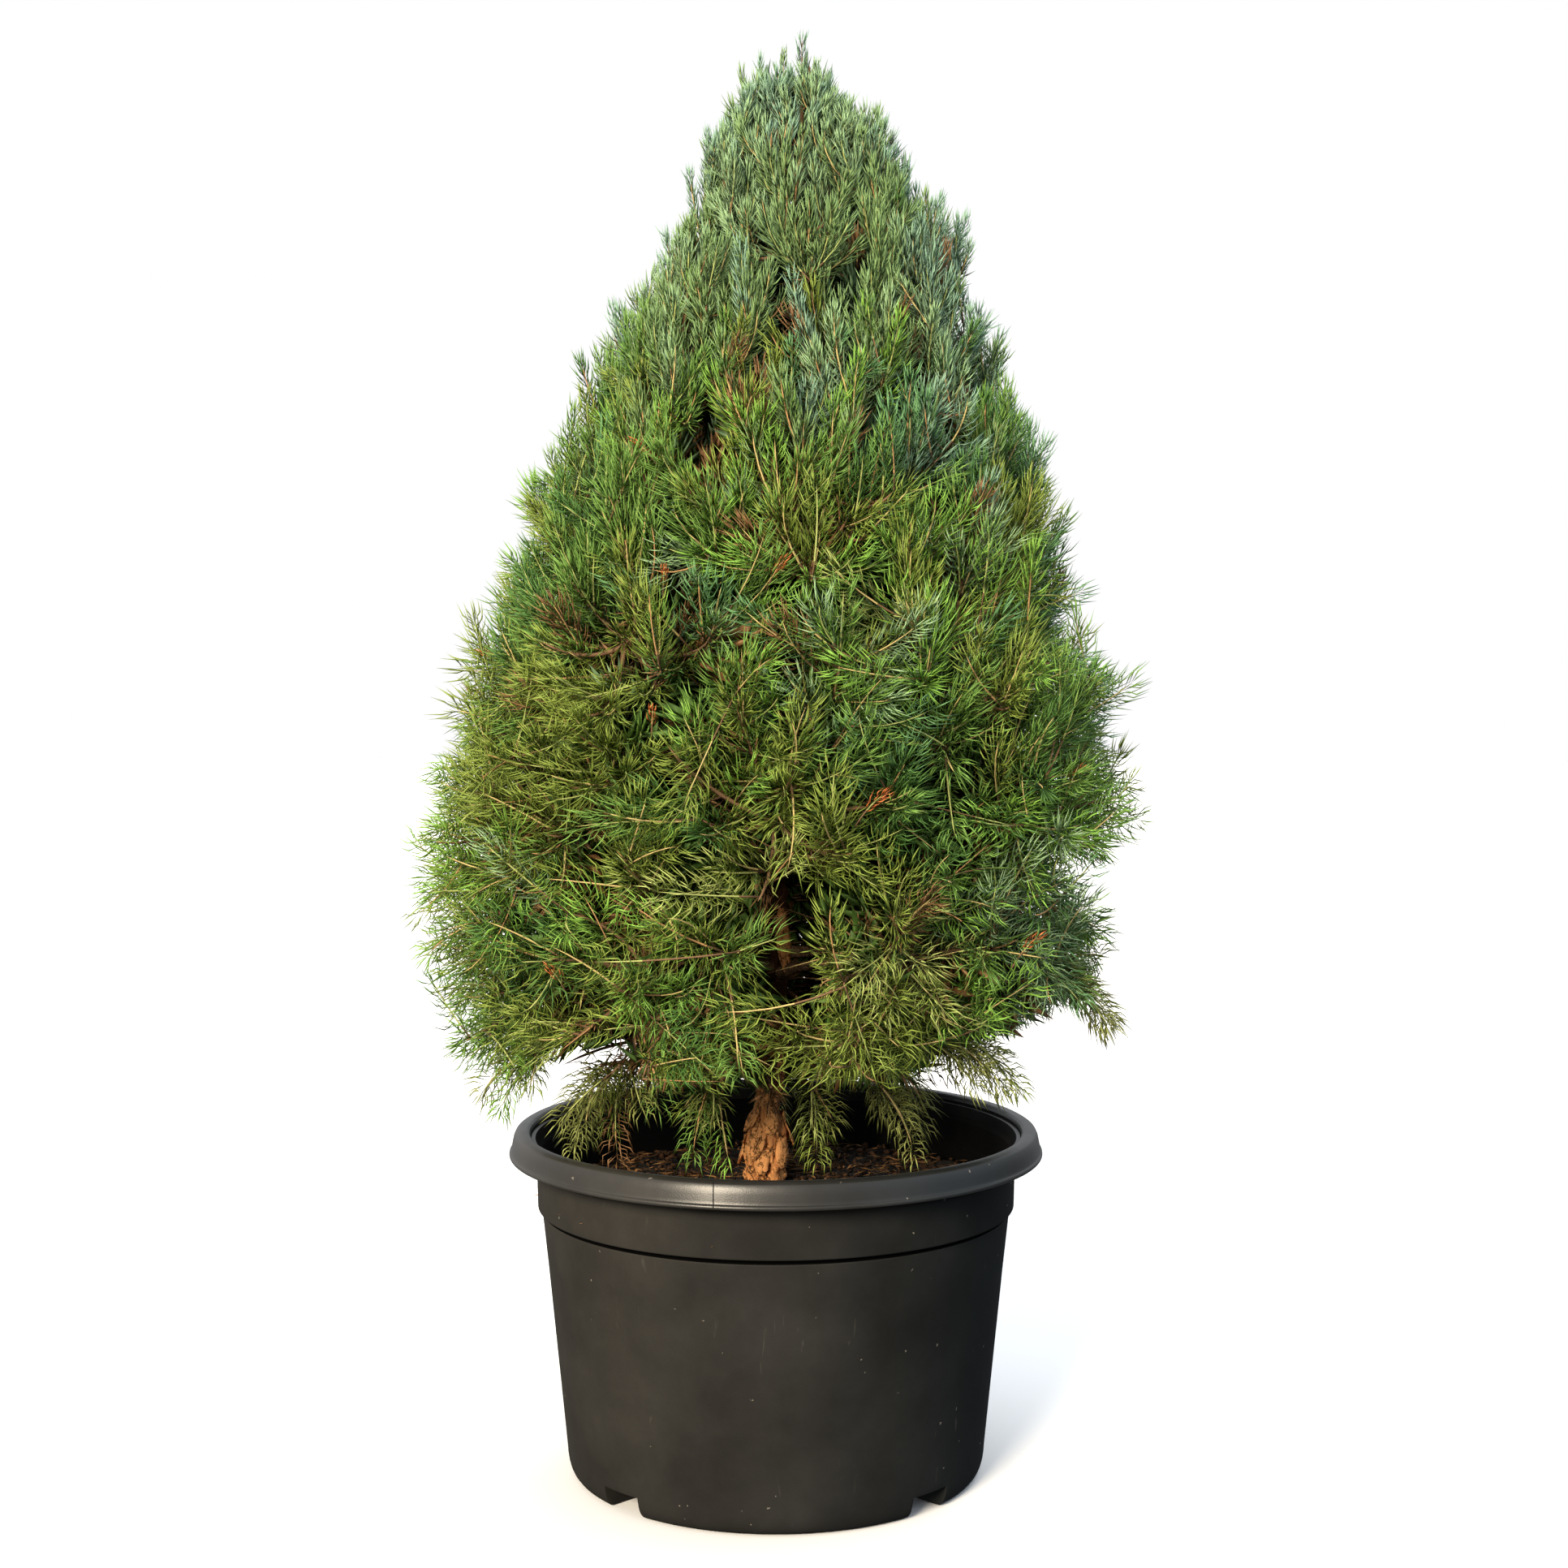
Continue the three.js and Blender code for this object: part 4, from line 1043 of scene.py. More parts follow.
def needles_on(shoot, settings, rng):
    """One shoot's needles, that bend forward along it: points, triangles and tints."""
    share = height_share(float(shoot["tip"][2]))
    size, luck, layer, bare = (shoot[key] for key in ("size", "luck", "layer", "bare"))
    many, wide, long = LAYERS[layer]
    count = max(int(settings.needles_per_metre * shoot["length"] * (1 - bare) * many
                    * (0.80 + 0.40 * luck[0]) * (1 + 0.8 * share)), 12)
    way = bare + (1 - bare) * (np.arange(count) + rng.random(count)) / count
    roots, axes = along_curve(shoot["curve"], way)
    tip = shoot["tip"]
    facing = outward(turn_of(tip - trunk_centre(tip[2]))) + [0, 0, 0.35]
    across, aside = square_to(axes, facing)
    around = np.arange(count) * math.radians(GOLDEN_TURN) + rng.normal(0, 0.25, count)
    flat = {"hanging": 0.25, "inner": 0.0, "core": 0.0}.get(
        layer, (0.80 - 0.42 * share) * (0.35 + 0.65 * luck[1]))
    spoke = unit(across * np.cos(around)[:, None]
                 + aside * (np.sin(around) * (1 - flat))[:, None])
    inner = np.clip((way - bare) / (1 - bare), 0, 1)
    root_lean = math.radians(ROOT_LEAN[0] + (ROOT_LEAN[1] - ROOT_LEAN[0]) * share**1.2)
    tip_lean = math.radians(TIP_LEAN[0] + (TIP_LEAN[1] - TIP_LEAN[0]) * share)
    lean = root_lean + (tip_lean - root_lean) * inner**1.2 + rng.normal(0, 0.11, count)
    lean *= 0.45 if layer == "rusty" else 1.0
    bow = math.radians(16 + 9 * luck[2] - 14 * share) * rng.uniform(0.6, 1.4, count)
    length = settings.needle_length * long * needle_share(float(shoot["tip"][2]))
    length = length * (0.86 + 0.28 * luck[3]) * rng.uniform(0.78, 1.10, count)
    length *= np.interp(inner, [0, 0.12, 0.8, 1], [0.75, 1.0, 1.0, 0.80])
    setting_out = turned(axes, spoke, lean + bow)
    ending = turned(axes, spoke, lean - bow)
    ending[:, 2] -= 0.14 * (1 - share) * luck[2]
    middles = roots + setting_out * (length * 0.48)[:, None]
    tips = middles + unit(ending) * (length * 0.52)[:, None]
    keep = (cleft_depth(middles) < 0.006) & (cleft_depth(tips) < 0.010)
    keep &= clear_of_foot(tips, -0.002) & clear_of_foot(middles, -0.002)
    keep &= tips[:, 2] < TREE_TOP + 0.004
    for axis in (0, 1):
        keep &= tips[:, axis] > CAD_BOX[0][axis] - BOX_SLACK
        keep &= tips[:, axis] < CAD_BOX[1][axis] + BOX_SLACK
    if layer != "hanging":
        keep &= over_skirt_edge(tips) & over_skirt_edge(middles)
    if layer in ("inner", "core"):
        keep &= (cleft_depth(tips) < -0.014) & (cleft_depth(middles) < -0.010)
    width = settings.needle_width * wide * (0.8 + 0.2 * size) * rng.uniform(0.85, 1.15, count)
    # Painted light and shade, together with age: needles are paler towards the shoot's tip and
    # duller towards its root.
    fresh_and_lit = 0.75 * inner + 0.62 * rng.random(count)
    tints = np.where(fresh_and_lit > PALE_FROM, 1, np.where(fresh_and_lit < DULL_TO, 2, 0))
    shaped = slivers if layer in ("inner", "core") else bent_needles
    points, faces = shaped(roots[keep], middles[keep], tips[keep], width[keep])
    return points, faces, np.repeat(tints[keep], len(faces) // max(int(keep.sum()), 1))


def needle_share(z):
    """Needles are full grown up to a little over the belly, and shorter towards the tip."""
    return float(np.interp(z, (0.72, 0.88, 1.02, 1.16, 1.33), (1.0, 0.86, 0.70, 0.58, 0.52)))


def all_alike(points, pattern):
    """The points of many like shapes, and their faces from the pattern of one shape's."""
    starts = np.arange(len(points)) * points.shape[1]
    faces = starts[:, None, None] + np.array(pattern)
    return points.reshape(-1, 3), faces.reshape(-1, 3)


def bent_needles(roots, middles, tips, width):
    """Closed needles of five points and six faces, bent at the three-sided ring at their
    middles."""
    axes = unit(tips - roots)
    first = unit(np.cross(axes, middles - (roots + tips) / 2))
    second = np.cross(axes, first)
    radius = (width / math.sqrt(3))[:, None]
    ring = [middles + (first * math.cos(a) + second * math.sin(a)) * radius
            for a in (math.pi / 2, math.pi * 7 / 6, math.pi * 11 / 6)]
    return all_alike(np.stack([roots, *ring, tips], axis=1),
                     [(2, 1, 0), (3, 2, 0), (1, 3, 0), (1, 2, 4), (2, 3, 4), (3, 1, 4)])


def slivers(roots, middles, tips, width):
    """Closed needles of four points and four faces, bowed out at their middles."""
    aside = unit(np.cross(tips - roots, middles - (roots + tips) / 2)) * (width / 2)[:, None]
    return all_alike(np.stack([roots, middles - aside, middles + aside, tips], axis=1),
                     [(0, 2, 1), (0, 1, 3), (0, 3, 2), (1, 2, 3)])


# How warm and how light each needle colour is, between 0 and 1.
COLOUR_PLACES = {
    "blue_green": (0.06, 0.56), "pale_green": (0.24, 0.92), "mid_green": (0.42, 0.48),
    "deep_green": (0.34, 0.08), "bright_green": (0.58, 0.86), "olive": (0.80, 0.42),
    "straw": (1.10, 0.98),
}
HIGH_SWAPS = {"mid_green": "sage_green", "bright_green": "sage_green", "olive": "sage_green",
              "straw": "pale_green", "blue_green": "sage_green"}


def needle_colour(shoot, spray_luck, rng):
    """The colour group of a shoot: blue and pale in the upper crown, deep green to the right as
    painted shade, olive in the middle and yellow green low on the left, in patches that change
    slowly."""
    if shoot["layer"] == "rusty":
        return "rust"
    high = height_share(float(shoot["tip"][2]))
    if shoot["layer"] in ("inner", "core"):
        if rng.random() < 0.24 - 0.16 * high:
            return "dead_brown"
        return "high_shade" if rng.random() < (high - 0.35) / 0.4 else "shade"
    x, _, z = shoot["tip"]
    if shoot["layer"] == "withered" or rng.random() < 0.6 * patch_share(shoot["tip"], BROWNED):
        return "dead_brown" if rng.random() < 0.6 else "olive"
    if rng.random() < 0.012 and z < 1.15:
        return "dead_brown"
    right = clamp(0.5 + x / 0.5)
    high = clamp((z - 0.86) / 0.34)
    low = clamp((0.66 - z) / 0.22)
    hangs = shoot["layer"] == "hanging"
    if hangs and rng.random() < 0.65:
        return "khaki"
    # Darker and cooler to the right, as painted shade on the side away from the warm key light.
    warm = 0.62 - 0.46 * high - 0.26 * (right - 0.4) + 0.08 * low + 0.24 * hangs
    light = 0.50 + 0.16 * high - 0.10 * (right - 0.5) + 0.02 * low - 0.08 * hangs
    edge = abs(x - trunk_centre(z)[0]) / max(crown_radius(z), 0.05)
    edge = clamp((edge - 0.50) / 0.45)
    warm -= 0.26 * edge * (0.25 + 0.75 * high)
    # Painted light and shade in patches.
    light += patch_change(shoot["tip"], PAINTED_LIGHT_PATCHES)
    warm += patch_change(shoot["tip"], HUE_PATCHES)
    light += 0.12 * clamp((z - 1.15) / 0.12)
    even = 1 - 0.45 * high
    warm += even * (0.12 * drift(shoot["tip"], WARM_PATCHES) + 0.20 * spray_luck[0]
                    + rng.normal(0, 0.09))
    light += even * (0.13 * drift(shoot["tip"], LIGHT_PATCHES) + 0.18 * spray_luck[1]
                     + rng.normal(0, 0.13))
    name = min(COLOUR_PLACES, key=lambda name: 1.6 * (COLOUR_PLACES[name][0] - warm) ** 2
               + (COLOUR_PLACES[name][1] - light) ** 2)
    if name == "blue_green" and rng.random() > 1.6 * high:
        return "cool_green"
    kept_blue = (name == "blue_green") * max(0.85 * edge, clamp((z - 1.17) / 0.08, 0, 0.85))
    swapped = 1.7 * (high - 0.22) * (1 - kept_blue)
    return HIGH_SWAPS[name] if name in HIGH_SWAPS and rng.random() < swapped else name


# The settings that a user would change.


def length_property(name, description, default, least=0.0):
    return FloatProperty(name=name, description=description, default=default, min=least,
                         unit="LENGTH", precision=4)


def colour_property(name, description, default, most=1.0):
    return FloatVectorProperty(name=name, description=description, default=default, size=3,
                               min=0.0, max=most, subtype="COLOR")


def count_property(name, description, default, least=0):
    return IntProperty(name=name, description=description, default=default, min=least)


def strength_property(name, description, default):
    return FloatProperty(name=name, description=description, default=default, min=0)


class PotSettings(bpy.types.PropertyGroup):
    """Sizes and finish of the nursery pot."""

    height: length_property("Height", "From the ground to the rim's crest", POT_HIGH.z)
    lip_radius: length_property("Lip radius", "Outer radius of the rolled rim", POT_HIGH.x)
    lip_height: length_property("Lip height", "Height of the rim's lower edge", 0.300)
    mouth_radius: length_property("Mouth radius", "Inner radius of the rim", 0.230)
    band_radius: length_property("Band radius", "Radius of the wall under the rim", 0.224)
    step_height: length_property("Step height", "Height of the step in the wall", 0.250)
    step_radius: length_property("Step radius", "Radius of the wall under the step", 0.219)
    base_radius: length_property("Base radius", "Radius of the wall over its foot", 0.197)
    foot_radius: length_property("Foot radius", "Radius of the flat underside", 0.185)
    corner_height: length_property("Corner height", "Height of the rounded foot", 0.026)
    wall: length_property("Wall", "Thickness of the wall", 0.004)
    notch_height: length_property("Notch height", "Height of the drainage notches", 0.020)
    notch_depth: length_property("Notch depth", "How far the notches reach in", 0.046)
    parting_x: length_property("Parting line", "Where the mould's line crosses the rim", -0.052,
                               -1.0)
    notch_width: FloatProperty(name="Notch width", description="Width of a notch round the foot",
                               default=math.radians(18), subtype="ANGLE")
    plastic_colour: colour_property("Plastic", "Colour of the plastic", (0.0185, 0.0180, 0.0178))
    # The two side tints are painted light and shade: lighter and warmer on the left, where the key
    # light falls, and darker and bluer on the right.
    lit_side_tint: colour_property("Left tint", "Share of the plastic's colour on its greyed side",
                               (1.38, 1.30, 1.10), 2.0)
    shaded_side_tint: colour_property("Right tint", "Share of the plastic's colour on its dark side",
                                (0.34, 0.47, 0.50), 2.0)
    dust_colour: colour_property("Dust", "Colour of specks and scuffs", (0.17, 0.155, 0.13))


class MulchSettings(bpy.types.PropertyGroup):
    """The growing mix and what lies on it."""

    mulch_colour: colour_property("Mulch", "Colour of the fine mulch", (0.0115, 0.0066, 0.0030))
    chip_colour: colour_property("Chips", "Colour of the bark chips", (0.043, 0.020, 0.0085))
    fallen_colour: colour_property("Fallen needles", "Colour of fallen needles",
                                   (0.30, 0.15, 0.055))
    chip_count: count_property("Chips", "How many bark chips", 1500)
    fallen_count: count_property("Fallen needles", "How many fallen needles", 900)


class BarkSettings(bpy.types.PropertyGroup):
    """The trunk and the boughs."""

    foot_radius: length_property("Trunk radius", "Radius over the root flare", 0.0162)
    relief: length_property("Relief", "How far the bark plates stand out", 0.0056)
    plate_colour: colour_property("Plates", "Colour of the bark plates", (0.50, 0.195, 0.065))
    flake_colour: colour_property("Flakes", "Colour of freshly flaked bark", (0.86, 0.40, 0.145))
    crack_colour: colour_property("Cracks", "Colour of the cracks", (0.045, 0.020, 0.010))
    bough_colour: colour_property("Boughs", "Colour of the boughs' bark", (0.24, 0.15, 0.085))


class CrownSettings(bpy.types.PropertyGroup):
    """The sprays of needles and their twigs."""

    spray_count: count_property("Sprays", "How many branchlets carry the shoots", 300, 1)
    shoot_count: count_property("Shoots", "How many shoots make the outline", 2450, 1)
    inner_count: count_property("Inner shoots", "How many shoots fill the shade", 1350)
    core_count: count_property("Core shoots", "How many shoots surround the trunk", 1100)
    backing_count: count_property("Backing shoots", "How many stand behind the trunk", 340)
    shoot_length: length_property("Shoot length", "Length of a shoot at the belly", 0.074)
    needle_length: length_property("Needle length", "Length of a needle at the belly", 0.0330)
    needle_width: length_property("Needle width", "Width of a needle at its middle", 0.00125)
    needles_per_metre: FloatProperty(name="Needles per metre", default=610, min=1,
                                     description="Needles along a metre of shoot")
    blue_green: colour_property("Blue green", "Needles of the upper crown",
                                (0.182, 0.305, 0.198))
    pale_green: colour_property("Pale green", "Young needles", (0.222, 0.345, 0.165))
    sage_green: colour_property("Sage green", "Needles in the middle of the upper crown",
                                (0.150, 0.245, 0.082))
    cool_green: colour_property("Cool green", "Needles of the lower crown that face the shade",
                                (0.098, 0.225, 0.080))
    mid_green: colour_property("Mid green", "Needles of the middle", (0.116, 0.228, 0.036))
    deep_green: colour_property("Deep green", "Needles on the shaded side",
                                (0.060, 0.150, 0.026))
    bright_green: colour_property("Bright green", "Fresh needles", (0.168, 0.335, 0.042))
    olive: colour_property("Olive", "Older needles", (0.180, 0.242, 0.034))
    straw: colour_property("Straw", "Yellowed needles", (0.310, 0.365, 0.10))
    khaki: colour_property("Khaki", "Needles of the sprigs that hang", (0.200, 0.222, 0.054))
    dead_brown: colour_property("Dead brown", "Withered needles", (0.17, 0.085, 0.030))
    rust: colour_property("Rust", "Withered clusters between the tufts", (0.50, 0.135, 0.036))
    shade: colour_property("Shade", "Needles in the depth of the crown", (0.062, 0.130, 0.020))
    high_shade: colour_property("High shade", "Needles in the depth near the top",
                                (0.125, 0.210, 0.100))
    twig_colour: colour_property("Twigs", "Colour of the young twigs", (0.56, 0.43, 0.175))
    old_twig_colour: colour_property("Old twigs", "Colour of the older twigs",
                                     (0.20, 0.115, 0.06))


class StageSettings(bpy.types.PropertyGroup):
    """The floor and the studio light."""

    floor_colour: colour_property("Floor", "Colour of the floor", (0.86, 0.86, 0.86))
    key_colour: colour_property("Key light", "Colour of the key light", (1.0, 0.86, 0.66))
    key_strength: strength_property("Key", "Strength of the key light", 6.0)
    low_power: strength_property("Low light", "Power of the light under the skirt", 88)
    cleft_power: strength_property("Cleft light", "Power of the light on the bare trunk", 26)
    top_strength: strength_property("Top light", "Strength of the light from above", 1.5)
    cool_strength: strength_property("Cool light", "Strength of the light from the right", 0.45)
    sky_strength: strength_property("Sky", "Strength of the even light", 0.88)


NEEDLE_COLOURS = (*COLOUR_PLACES, "sage_green", "cool_green", "khaki", "dead_brown", "rust",
                  "shade", "high_shade")
PIECE_TRIANGLES = 190000


# One operator for each piece or group of like pieces.


class PINE_OT_turn_pot(bpy.types.Operator):
    """Turns the pot from its foot to its rim and back down inside, and cuts its notches"""

    bl_idname = "pine.turn_pot"
    bl_label = "Turn Pot"

    def execute(self, context):
        settings = context.scene.pine_pot
        pot = turn_profile("nursery_pot", 144, pot_profile(settings))
        for k in range(4):
            cut_notch(pot, settings, 45 + 90 * k)
        apply_modifier(pot, "BEVEL", "edges", width=0.0007, segments=2, limit_method="ANGLE",
                       angle_limit=math.radians(28))
        select_only(pot)
        bpy.ops.object.shade_smooth_by_angle(angle=math.radians(30))
        pot.data.materials.append(pot_plastic(settings, "black_pot_plastic", 0.66, 0.07))
        pot.data.materials.append(pot_plastic(settings, "handled_rim_plastic", 0.33, 0.37))
        # The inside of the pot is the same plastic darkened: painted shade on its inward faces.
        pot.data.materials.append(new_material(
            "pot_inside_plastic", shaded(settings.plastic_colour, 0.15), 0.75, 0.10)[0])
        for face in pot.data.polygons:
            x, y, z = face.center
            away = math.hypot(x, y)
            if z > settings.lip_height - 0.001 and away > settings.mouth_radius - 0.001:
                face.material_index = 1
            elif x * face.normal.x + y * face.normal.y < -0.5 * away:
                face.material_index = 2
        settle(pot, ["pot"])
        return {"FINISHED"}


def pot_profile(s):
    """Foot, rounded corner, wall, step, band, rolled rim, and the hollow down to its floor: the
    radius and height of each ring."""
    corner, _ = along_curve([(s.foot_radius, 0, 0), (s.base_radius - 0.001, 0, 0),
                             (s.base_radius, 0, s.corner_height)], np.linspace(0, 1, 8))
    points = [(p[0], p[2]) for p in corner]
    for share in (0.25, 0.5, 0.75):
        points.append((s.base_radius + (s.step_radius - s.base_radius) * share,
                       s.corner_height + (s.step_height - s.corner_height) * share))
    step, lip, crest = s.step_height, s.lip_height, s.height
    under_rim = s.band_radius - s.wall
    over_floor = s.base_radius - s.wall
    rings = (
        (s.step_radius, ((0, step - 0.0042), (-0.0008, step - 0.0032), (-0.0030, step - 0.0028),
                         (-0.0030, step + 0.0004))),
        (s.band_radius, ((-0.0014, step + 0.0010), (-0.0006, step + 0.0020), (0.0005, lip),
                         (0.0010, crest - 0.0075))),
        (s.lip_radius, ((-0.0100, crest - 0.0075), (-0.0045, lip + 0.0010),
                        (-0.0024, lip - 0.0002), (-0.0006, lip + 0.0002), (0, lip + 0.0016),
                        (-0.0004, lip + 0.0036), (-0.0019, lip + 0.0046), (-0.0024, lip + 0.0075),
                        (-0.0034, lip + 0.0130), (-0.0044, crest - 0.0060),
                        (-0.0062, crest - 0.0022), (-0.0090, crest - 0.0005), (-0.0125, crest))),
        (s.mouth_radius, ((0.0030, crest - 0.0004), (0.0008, crest - 0.0020), (0, crest - 0.0050),
                          (-0.0035, lip + 0.0080))),
        (under_rim, ((0.0010, lip + 0.0020), (-0.0006, LEDGE_Z + 0.0015), (-0.0016, LEDGE_Z),
                     (-0.0010, step + 0.0070))),
        (s.step_radius - s.wall, ((0, step),)),
        (over_floor, ((0, s.corner_height + 0.012), (-0.006, s.corner_height))),
        (FLOOR_RING, ((0, s.corner_height),)))
    return points + [(radius + out, z) for radius, places in rings for out, z in places]


def add_block(middle, size):
    clear_selection()
    bpy.ops.mesh.primitive_cube_add(size=1, location=middle, scale=size)
    keep_place()
    return bpy.context.object


def cut_notch(pot, settings, turn):
    """Cuts one drainage notch out of the foot and its drain slot through the floor."""
    inner = settings.foot_radius - settings.notch_depth
    outer = settings.lip_radius
    width = 2 * outer * math.tan(settings.notch_width / 2)
    middle = (inner + outer) / 2
    cutter = add_block((middle, 0, settings.notch_height / 2 - 0.005),
                       (outer - inner, width, settings.notch_height + 0.010))
    for vertex in cutter.data.vertices:
        vertex.select = vertex.co.x < middle
    bpy.ops.object.mode_set(mode="EDIT")
    bpy.ops.transform.resize(value=(1, inner / outer, 1), center_override=(inner, 0, 0))
    bpy.ops.object.mode_set(mode="OBJECT")
    slot = add_block((inner + settings.notch_depth / 2, 0, SLOT_Z), SLOT_SIZE)
    for tool in (cutter, slot):
        tool.rotation_euler = (0, 0, math.radians(turn - 90))
        select_only(tool)
        keep_place()
        apply_modifier(pot, "BOOLEAN", "notch", operation="DIFFERENCE", solver="EXACT",
                       object=tool)
        bpy.data.objects.remove(tool)


def soil_top(x, y):
    """Height of the mulch: heaped a little up to the trunk, with shallow hollows."""
    radius = np.hypot(x, y)
    share = np.clip((radius - HEAP_RADIUS) / HEAP_SLOPE, 0, 1)
    heap = share * share * (3 - 2 * share)
    lumps = 0.0025 * np.sin(x / 0.023) * np.cos(y / 0.019) * heap
    return SOIL_Z + (SOIL_EDGE_Z - SOIL_Z) * heap + lumps


class PINE_OT_fill_pot(bpy.types.Operator):
    """Fills the pot with mulch, and strews bark chips and fallen needles over it"""

    bl_idname = "pine.fill_pot"
    bl_label = "Fill Pot"

    def execute(self, context):
        settings = context.scene.pine_mulch
        rng = np.random.default_rng(SEED + 3)
        top = SOIL_HIGH.z - 0.005
        edge = SOIL_EDGE_RADIUS
        profile = [(0.186, 0.0270), (0.190, 0.040), (0.2135, 0.248)]
        profile += [(edge * (1 - k / 26), top) for k in range(26)]
        mulch = turn_profile("bark_mulch_fill", 96, profile)
        group = mulch.vertex_groups.new(name="top")
        for vertex in mulch.data.vertices:
            if vertex.co.z > top - 0.001:
                vertex.co.z = soil_top(vertex.co.x, vertex.co.y) - 0.002
                if math.hypot(vertex.co.x, vertex.co.y) < edge - 0.004:
                    group.add([vertex.index], 1.0, "REPLACE")
        for name, size, strength in (("lumps", 0.022, 0.010), ("crumbs", 0.007, 0.005)):
            apply_modifier(mulch, "DISPLACE", name, strength=strength, mid_level=0.5,
                           vertex_group="top", direction="Z",
                           texture=rough_texture(name, "CLOUDS", size, noise_depth=3))
        select_only(mulch)
        bpy.ops.object.shade_smooth_by_angle(angle=math.radians(50))
        mulch.data.materials.append(mulch_material(settings))
        settle(mulch, ["soil"])
        settle(strew_chips(settings, rng), [])
        settle(strew_needles(settings, rng), [])
        return {"FINISHED"}


def strewn_places(count, rng):
    """Places on the mulch, clear of the trunk, with a turn for each."""
    radius = INNER_WALL * np.sqrt(rng.uniform(0.012, 1, count))
    turn = rng.uniform(0, 2 * math.pi, count)
    x, y = radius * np.cos(turn), radius * np.sin(turn)
    return np.stack([x, y, soil_top(x, y)], axis=1), rng.uniform(0, 2 * math.pi, count)


def strew_chips(settings, rng):
    """Bark chips: six-sided slabs of uneven outline, tilted as they fell."""
    places, turns = strewn_places(settings.chip_count, rng)
    parts, looks = [], []
    for place, turn in zip(places, turns):
        corners = np.arange(6) * math.pi / 3 + rng.uniform(-0.3, 0.3, 6)
        reach = (0.0016 + 0.0056 * rng.random() ** 1.8) * rng.uniform(0.7, 1.1, 6)
        flat = np.stack([reach * np.cos(corners), 0.5 * reach * np.sin(corners), np.zeros(6)], 1)
        thick = rng.uniform(0.0006, 0.0018)
        slab = np.vstack([flat * 0.9 + [0, 0, thick], flat - [0, 0, thick]])
        parts.append((slab @ tilted(turn, rng.normal(0, 0.35), rng.normal(0, 0.35)).T
                      + place + [0, 0, rng.uniform(0.0, 0.004)], SLAB_FACES))
        looks.append(np.full(len(SLAB_FACES), rng.integers(0, 3)))
    points, faces = join_arrays(parts)
    colour = settings.chip_colour
    woods = [plain_wood("bark_chip", colour), plain_wood("bark_chip_dark", shaded(colour, 0.35)),
             plain_wood("bark_chip_pale", shaded(colour, 1.7))]
    return mesh_from_arrays("bark_chips", points, faces, woods, np.concatenate(looks),
                            smooth=False)


def bark_flake(turn, z, length, width, lift, foot_radius):
    """A thin plate of bark that curves round the trunk and lifts off it at its lower end."""
    rows = np.linspace(0, 1, 6)
    points = []
    for depth in (0.0, 0.0012):
        for t in rows:
            height = z + length * (t - 0.5)
            out = trunk_radius(height, foot_radius) + 0.0022 + lift * (1 - t) ** 2 - depth
            half = math.degrees(width / 2 / out) * (1 - 0.55 * abs(2 * t - 1) ** 3)
            for side in (-1, -0.3, 0.4, 1):
                crook = 0.0012 * math.sin(9 * t + 2.3 * side + turn)
                points.append(trunk_centre(height) + outward(turn + side * half) * (out + crook)
                              + [0, 0, 0.0016 * math.sin(5 * side + turn)])
    outer, inner = [np.arange(24).reshape(6, 4) + k * 24 for k in (0, 1)]
    faces = []
    for grid, order in ((outer, (0, 1, 2, 3)), (inner, (0, 3, 2, 1))):
        for k in range(5):
            for s in range(3):
                ring = (grid[k, s], grid[k, s + 1], grid[k + 1, s + 1], grid[k + 1, s])
                a, b, c, d = (ring[i] for i in order)
                faces += [(a, b, c), (a, c, d)]
    border = [(0, s) for s in range(4)] + [(k, 3) for k in range(1, 6)]
    border += [(5, s) for s in (2, 1, 0)] + [(k, 0) for k in (4, 3, 2, 1)]
    for here, there in zip(border, border[1:] + border[:1]):
        faces += [(outer[here], inner[here], inner[there]),
                  (outer[here], inner[there], outer[there])]
    return np.array(points), np.array(faces)


def slab_faces():
    """The faces of a chip: points 0 to 5 are its top's corners, 6 to 11 its underside's."""
    top = [(0, k, k + 1) for k in range(1, 5)]
    under = [(6, 6 + k + 1, 6 + k) for k in range(1, 5)]
    rim = []
    for k in range(6):
        n = (k + 1) % 6
        rim += [(k, 6 + k, 6 + n), (k, 6 + n, n)]
    return np.array(top + under + rim)


SLAB_FACES = slab_faces()


def tilted(turn, pitch, roll):
    """A turn about the upright axis after a pitch and a roll."""
    cz, sz, cx, sx, cy, sy = (f(a) for a in (turn, pitch, roll) for f in (math.cos, math.sin))
    about_z = np.array([(cz, -sz, 0), (sz, cz, 0), (0, 0, 1)])
    about_x = np.array([(1, 0, 0), (0, cx, -sx), (0, sx, cx)])
    about_y = np.array([(cy, 0, sy), (0, 1, 0), (-sy, 0, cy)])
    return about_z @ about_x @ about_y


def strew_needles(settings, rng):
    """Fallen needles, bent a little, each lying or leaning as it fell."""
    places, turns = strewn_places(settings.fallen_count, rng)
    count = len(places)
    places[:, 2] += rng.uniform(0.001, 0.005, count)
    rise = rng.normal(0, 0.12, count)
    ahead = np.stack([np.cos(turns), np.sin(turns), rise], axis=1)
    aside = np.stack([-np.sin(turns), np.cos(turns), np.abs(rng.normal(0, 0.3, count))], axis=1)
    length = rng.uniform(0.012, 0.026, count)[:, None]
    tips = places + ahead * length
    middles = (places + tips) / 2 + aside * length * rng.uniform(0.04, 0.14, count)[:, None]
    points, faces = slivers(places, middles, tips, np.full(count, 0.0012))
    colour = settings.fallen_colour
    straws = [plain_wood("fallen_needle", colour),
              plain_wood("fallen_needle_dark", shaded(colour, 0.5))]
    looks = np.repeat(rng.integers(0, 2, count), 4)
    return mesh_from_arrays("fallen_needles", points, faces, straws, looks)


